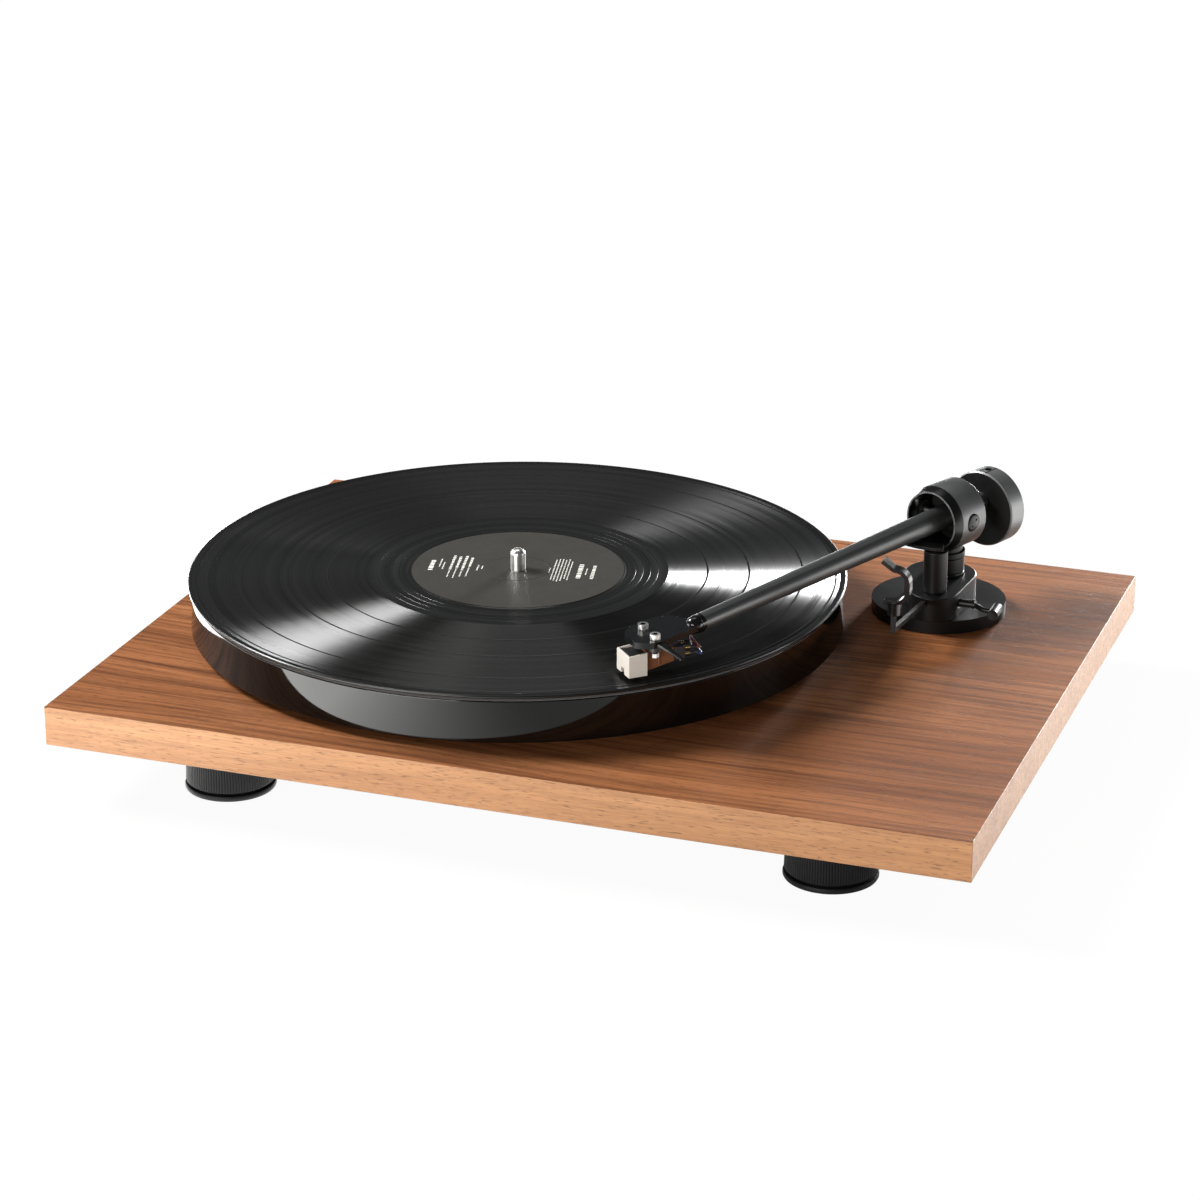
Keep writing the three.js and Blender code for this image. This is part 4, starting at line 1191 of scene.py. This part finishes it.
def make_cover_screws():
    low, high = extent("base_cover")
    inset = 7
    for i, (x, y) in enumerate([(low.x + inset, low.y + inset), (high.x - inset, low.y + inset),
                                (high.x - inset, high.y - inset), (low.x + inset, high.y - inset)]):
        head = [(2.9 * math.cos(a),
                 low.z - 1.5 * math.sin(a)) for a in (math.radians(15 * k) for k in range(7))]
        dome = shift(lathe([(0, low.z + 0.3), (2.9, low.z + 0.3), *head[:-1], (0, low.z - 1.5)], 48), x,
                     y)
        cross = [shift(block((-w, -d, low.z - 3), (w, d, low.z - 0.6)), x, y) for w,
                 d in ((1.6, 0.32), (0.32, 1.6))]
        piece("cover_screw_%d" % (i + 1), dome, "zinc_steel", "base", (), WORLD, 0.1, 2,
              cuts=cross)


# ---- CAD nodes that stay ----------------------------------------------------------------------
KEPT = [  # node, material, record slot, edge radius in mm
    ("base_cover", "satin_black", "satin_black", 0.5),
    ("control_board", "board_green", "board_green", 0.1),
    ("connector_plate", "satin_black", "satin_black", 0.2),
    ("switch_bezel", "jack_black", "jack_black", 0.5),
    ("power_rocker", "jack_black", "jack_black", 0.4),
    ("belt", "drive_rubber", "drive_rubber", 0.0),
    ("sub_platter", "satin_black", "satin_black", 0.4),
    ("bearing_housing", "zinc_steel", "zinc_steel", 0.3),
    ("bearing_bush", "brass", "brass", 0.1),
    ("thrust_ball", "bright_steel", "bright_steel", 0.0),
    ("motor_body", "zinc_steel", "zinc_steel", 0.5),
    ("motor_plate", "zinc_steel", "zinc_steel", 0.2),
    ("motor_shaft", "bright_steel", "bright_steel", 0.1),
    ("pulley", "brass", "brass", 0.1),
    ("arm_post_nut", "zinc_steel", "zinc_steel", 0.4),
    ("yaw_spindle", "bright_steel", "bright_steel", 0.2),
    ("yaw_bearing_upper", "bright_steel", "bright_steel", 0.2),
    ("yaw_bearing_lower", "bright_steel", "bright_steel", 0.2),
    ("pivot_axle", "bright_steel", "bright_steel", 0.1),
    ("stylus_cantilever", "bright_steel", "bright_steel", 0.0),
]


def dress_kept_nodes():
    for node, look, slot, bevel in KEPT:
        weld_and_round(node, [look], bevel)


# ---- stage ------------------------------------------------------------------------------------
FLOOR_LEVEL = -0.0002  # metres, just under the feet
SWEEP_START, SWEEP_END = -0.22, 0.13  # the bright sweep fades out between these X places, in metres
# Strengths of the floor's painted glow: the sweep and the right patch for mirrored rays, and a base glow
# for every ray but the camera's.
SWEEP_GLOW, RIGHT_GLOW, BASE_GLOW = 8.5, 3.0, 0.9
FLOOR_SHADE = 0.05  # the share of the seen floor that takes shadows


def make_floor():
    """A wide pale floor that glows though it is no lamp. The camera sees it evenly white; every other ray
    sees a painted glow that lights the object from below, and mirrored rays also a bright sweep that
    falls off to the right, with a patch at the right, a painted reflection in the lacquer.
    """
    bpy.ops.mesh.primitive_circle_add(vertices=64, radius=9.0, fill_type="NGON",
                                      location=(0, 0, FLOOR_LEVEL))
    floor = bpy.context.object
    floor.name = "floor"
    look = Look("floor_white_glow", base_color=(0.9, 0.9, 0.9), roughness=0.9)
    place = look.node("ShaderNodeSeparateXYZ", {0: look.here}).outputs
    fall = look.math("POWER", look.span(place[0], SWEEP_START, SWEEP_END, 1.0, 0.0), 2.0)
    right = look.math("MULTIPLY", look.span(place[0], 0.19, 0.25), look.span(place[1], -0.30, 0.05))
    glow = look.math("ADD", look.math("MULTIPLY", fall, SWEEP_GLOW),
                     look.math("MULTIPLY", right, RIGHT_GLOW))
    # The floor's painted glow: the sweep and right patch for mirrored rays only, plus the base glow for
    # all rays but the camera's.
    paths = look.node("ShaderNodeLightPath").outputs
    glow = look.math("ADD", look.math("MULTIPLY", glow, paths["Is Glossy Ray"]), BASE_GLOW)
    seen = paths["Is Camera Ray"]
    white = look.node("ShaderNodeEmission", {"Color": (1, 1, 1, 1), "Strength": 1.0})
    bright = look.node("ShaderNodeEmission", {"Color": (1.0, 0.995, 0.98, 1), "Strength": glow})
    soft = look.node("ShaderNodeMixShader", {0: FLOOR_SHADE, 1: white.outputs[0],
                                             2: look.shader.outputs[0]})
    both = look.node("ShaderNodeMixShader", {0: seen, 1: bright.outputs[0], 2: soft.outputs[0]})
    look.feed(look.tree.nodes["Material Output"].inputs["Surface"], both.outputs[0])
    floor.data.materials.append(look.material)


def make_world():
    world = bpy.data.worlds.new("studio")
    world.use_nodes = True
    tree = world.node_tree
    tree.nodes.clear()
    path = tree.nodes.new("ShaderNodeLightPath")
    dim, white = tree.nodes.new("ShaderNodeBackground"), tree.nodes.new("ShaderNodeBackground")
    dim.inputs["Color"].default_value = (0.92, 0.96, 1.0, 1)
    dim.inputs["Strength"].default_value = 0.10
    white.inputs["Color"].default_value = (1, 1, 1, 1)
    white.inputs["Strength"].default_value = 1.0
    both = tree.nodes.new("ShaderNodeMixShader")
    out = tree.nodes.new("ShaderNodeOutputWorld")
    tree.links.new(path.outputs["Is Camera Ray"], both.inputs[0])
    tree.links.new(dim.outputs[0], both.inputs[1])
    tree.links.new(white.outputs[0], both.inputs[2])
    tree.links.new(both.outputs[0], out.inputs["Surface"])
    bpy.context.scene.world = world


def softbox(name, direction, distance, width, height, power, colour=(1, 1, 1)):
    """An area light at that distance, in metres, from the plinth's middle, turned towards it."""
    data = bpy.data.lights.new(name, "AREA")
    data.shape = "RECTANGLE"
    data.size, data.size_y = width, height
    data.energy = power
    data.color = colour
    light = bpy.data.objects.new(name, data)
    away = Vector(direction).normalized()
    light.location = away * distance + Vector((0, 0, 0.06))
    light.rotation_euler = away.to_track_quat("Z", "Y").to_euler()
    bpy.context.scene.collection.objects.link(light)


def make_lights():
    softbox("back", (0.20, 0.97, 0.085), 2.2, 0.46, 0.24, 132)
    softbox("left_window", (-0.77, 0.05, 0.62), 2.2, 0.9, 0.7, 92)
    softbox("right_low", (0.98, 0.30, 0.05), 2.0, 0.8, 0.25, 8)
    softbox("front", (-0.25, -0.93, 0.12), 2.6, 1.4, 0.3, 66, (1.0, 0.97, 0.93))
    softbox("overhead", (-0.2, 0.35, 1.0), 2.2, 1.0, 0.8, 6)
    bpy.context.scene.cycles.caustics_reflective = False
    bpy.context.scene.view_settings.view_transform = "Standard"


def main():
    make_plinth()
    make_feet()
    make_platter()
    make_mat()
    make_record()
    make_spindle()
    make_arm_base()
    make_lift()
    make_lever()
    make_arm_rest()
    make_bearing_ring()
    make_ring_baffle()
    make_pivot_caps()
    make_yoke()
    make_tube()
    make_counterweight()
    make_headshell()
    make_cartridge_screws()
    make_cartridge()
    make_terminals()
    make_connectors()
    make_cover_screws()
    dress_kept_nodes()
    make_floor()
    make_world()
    make_lights()


main()
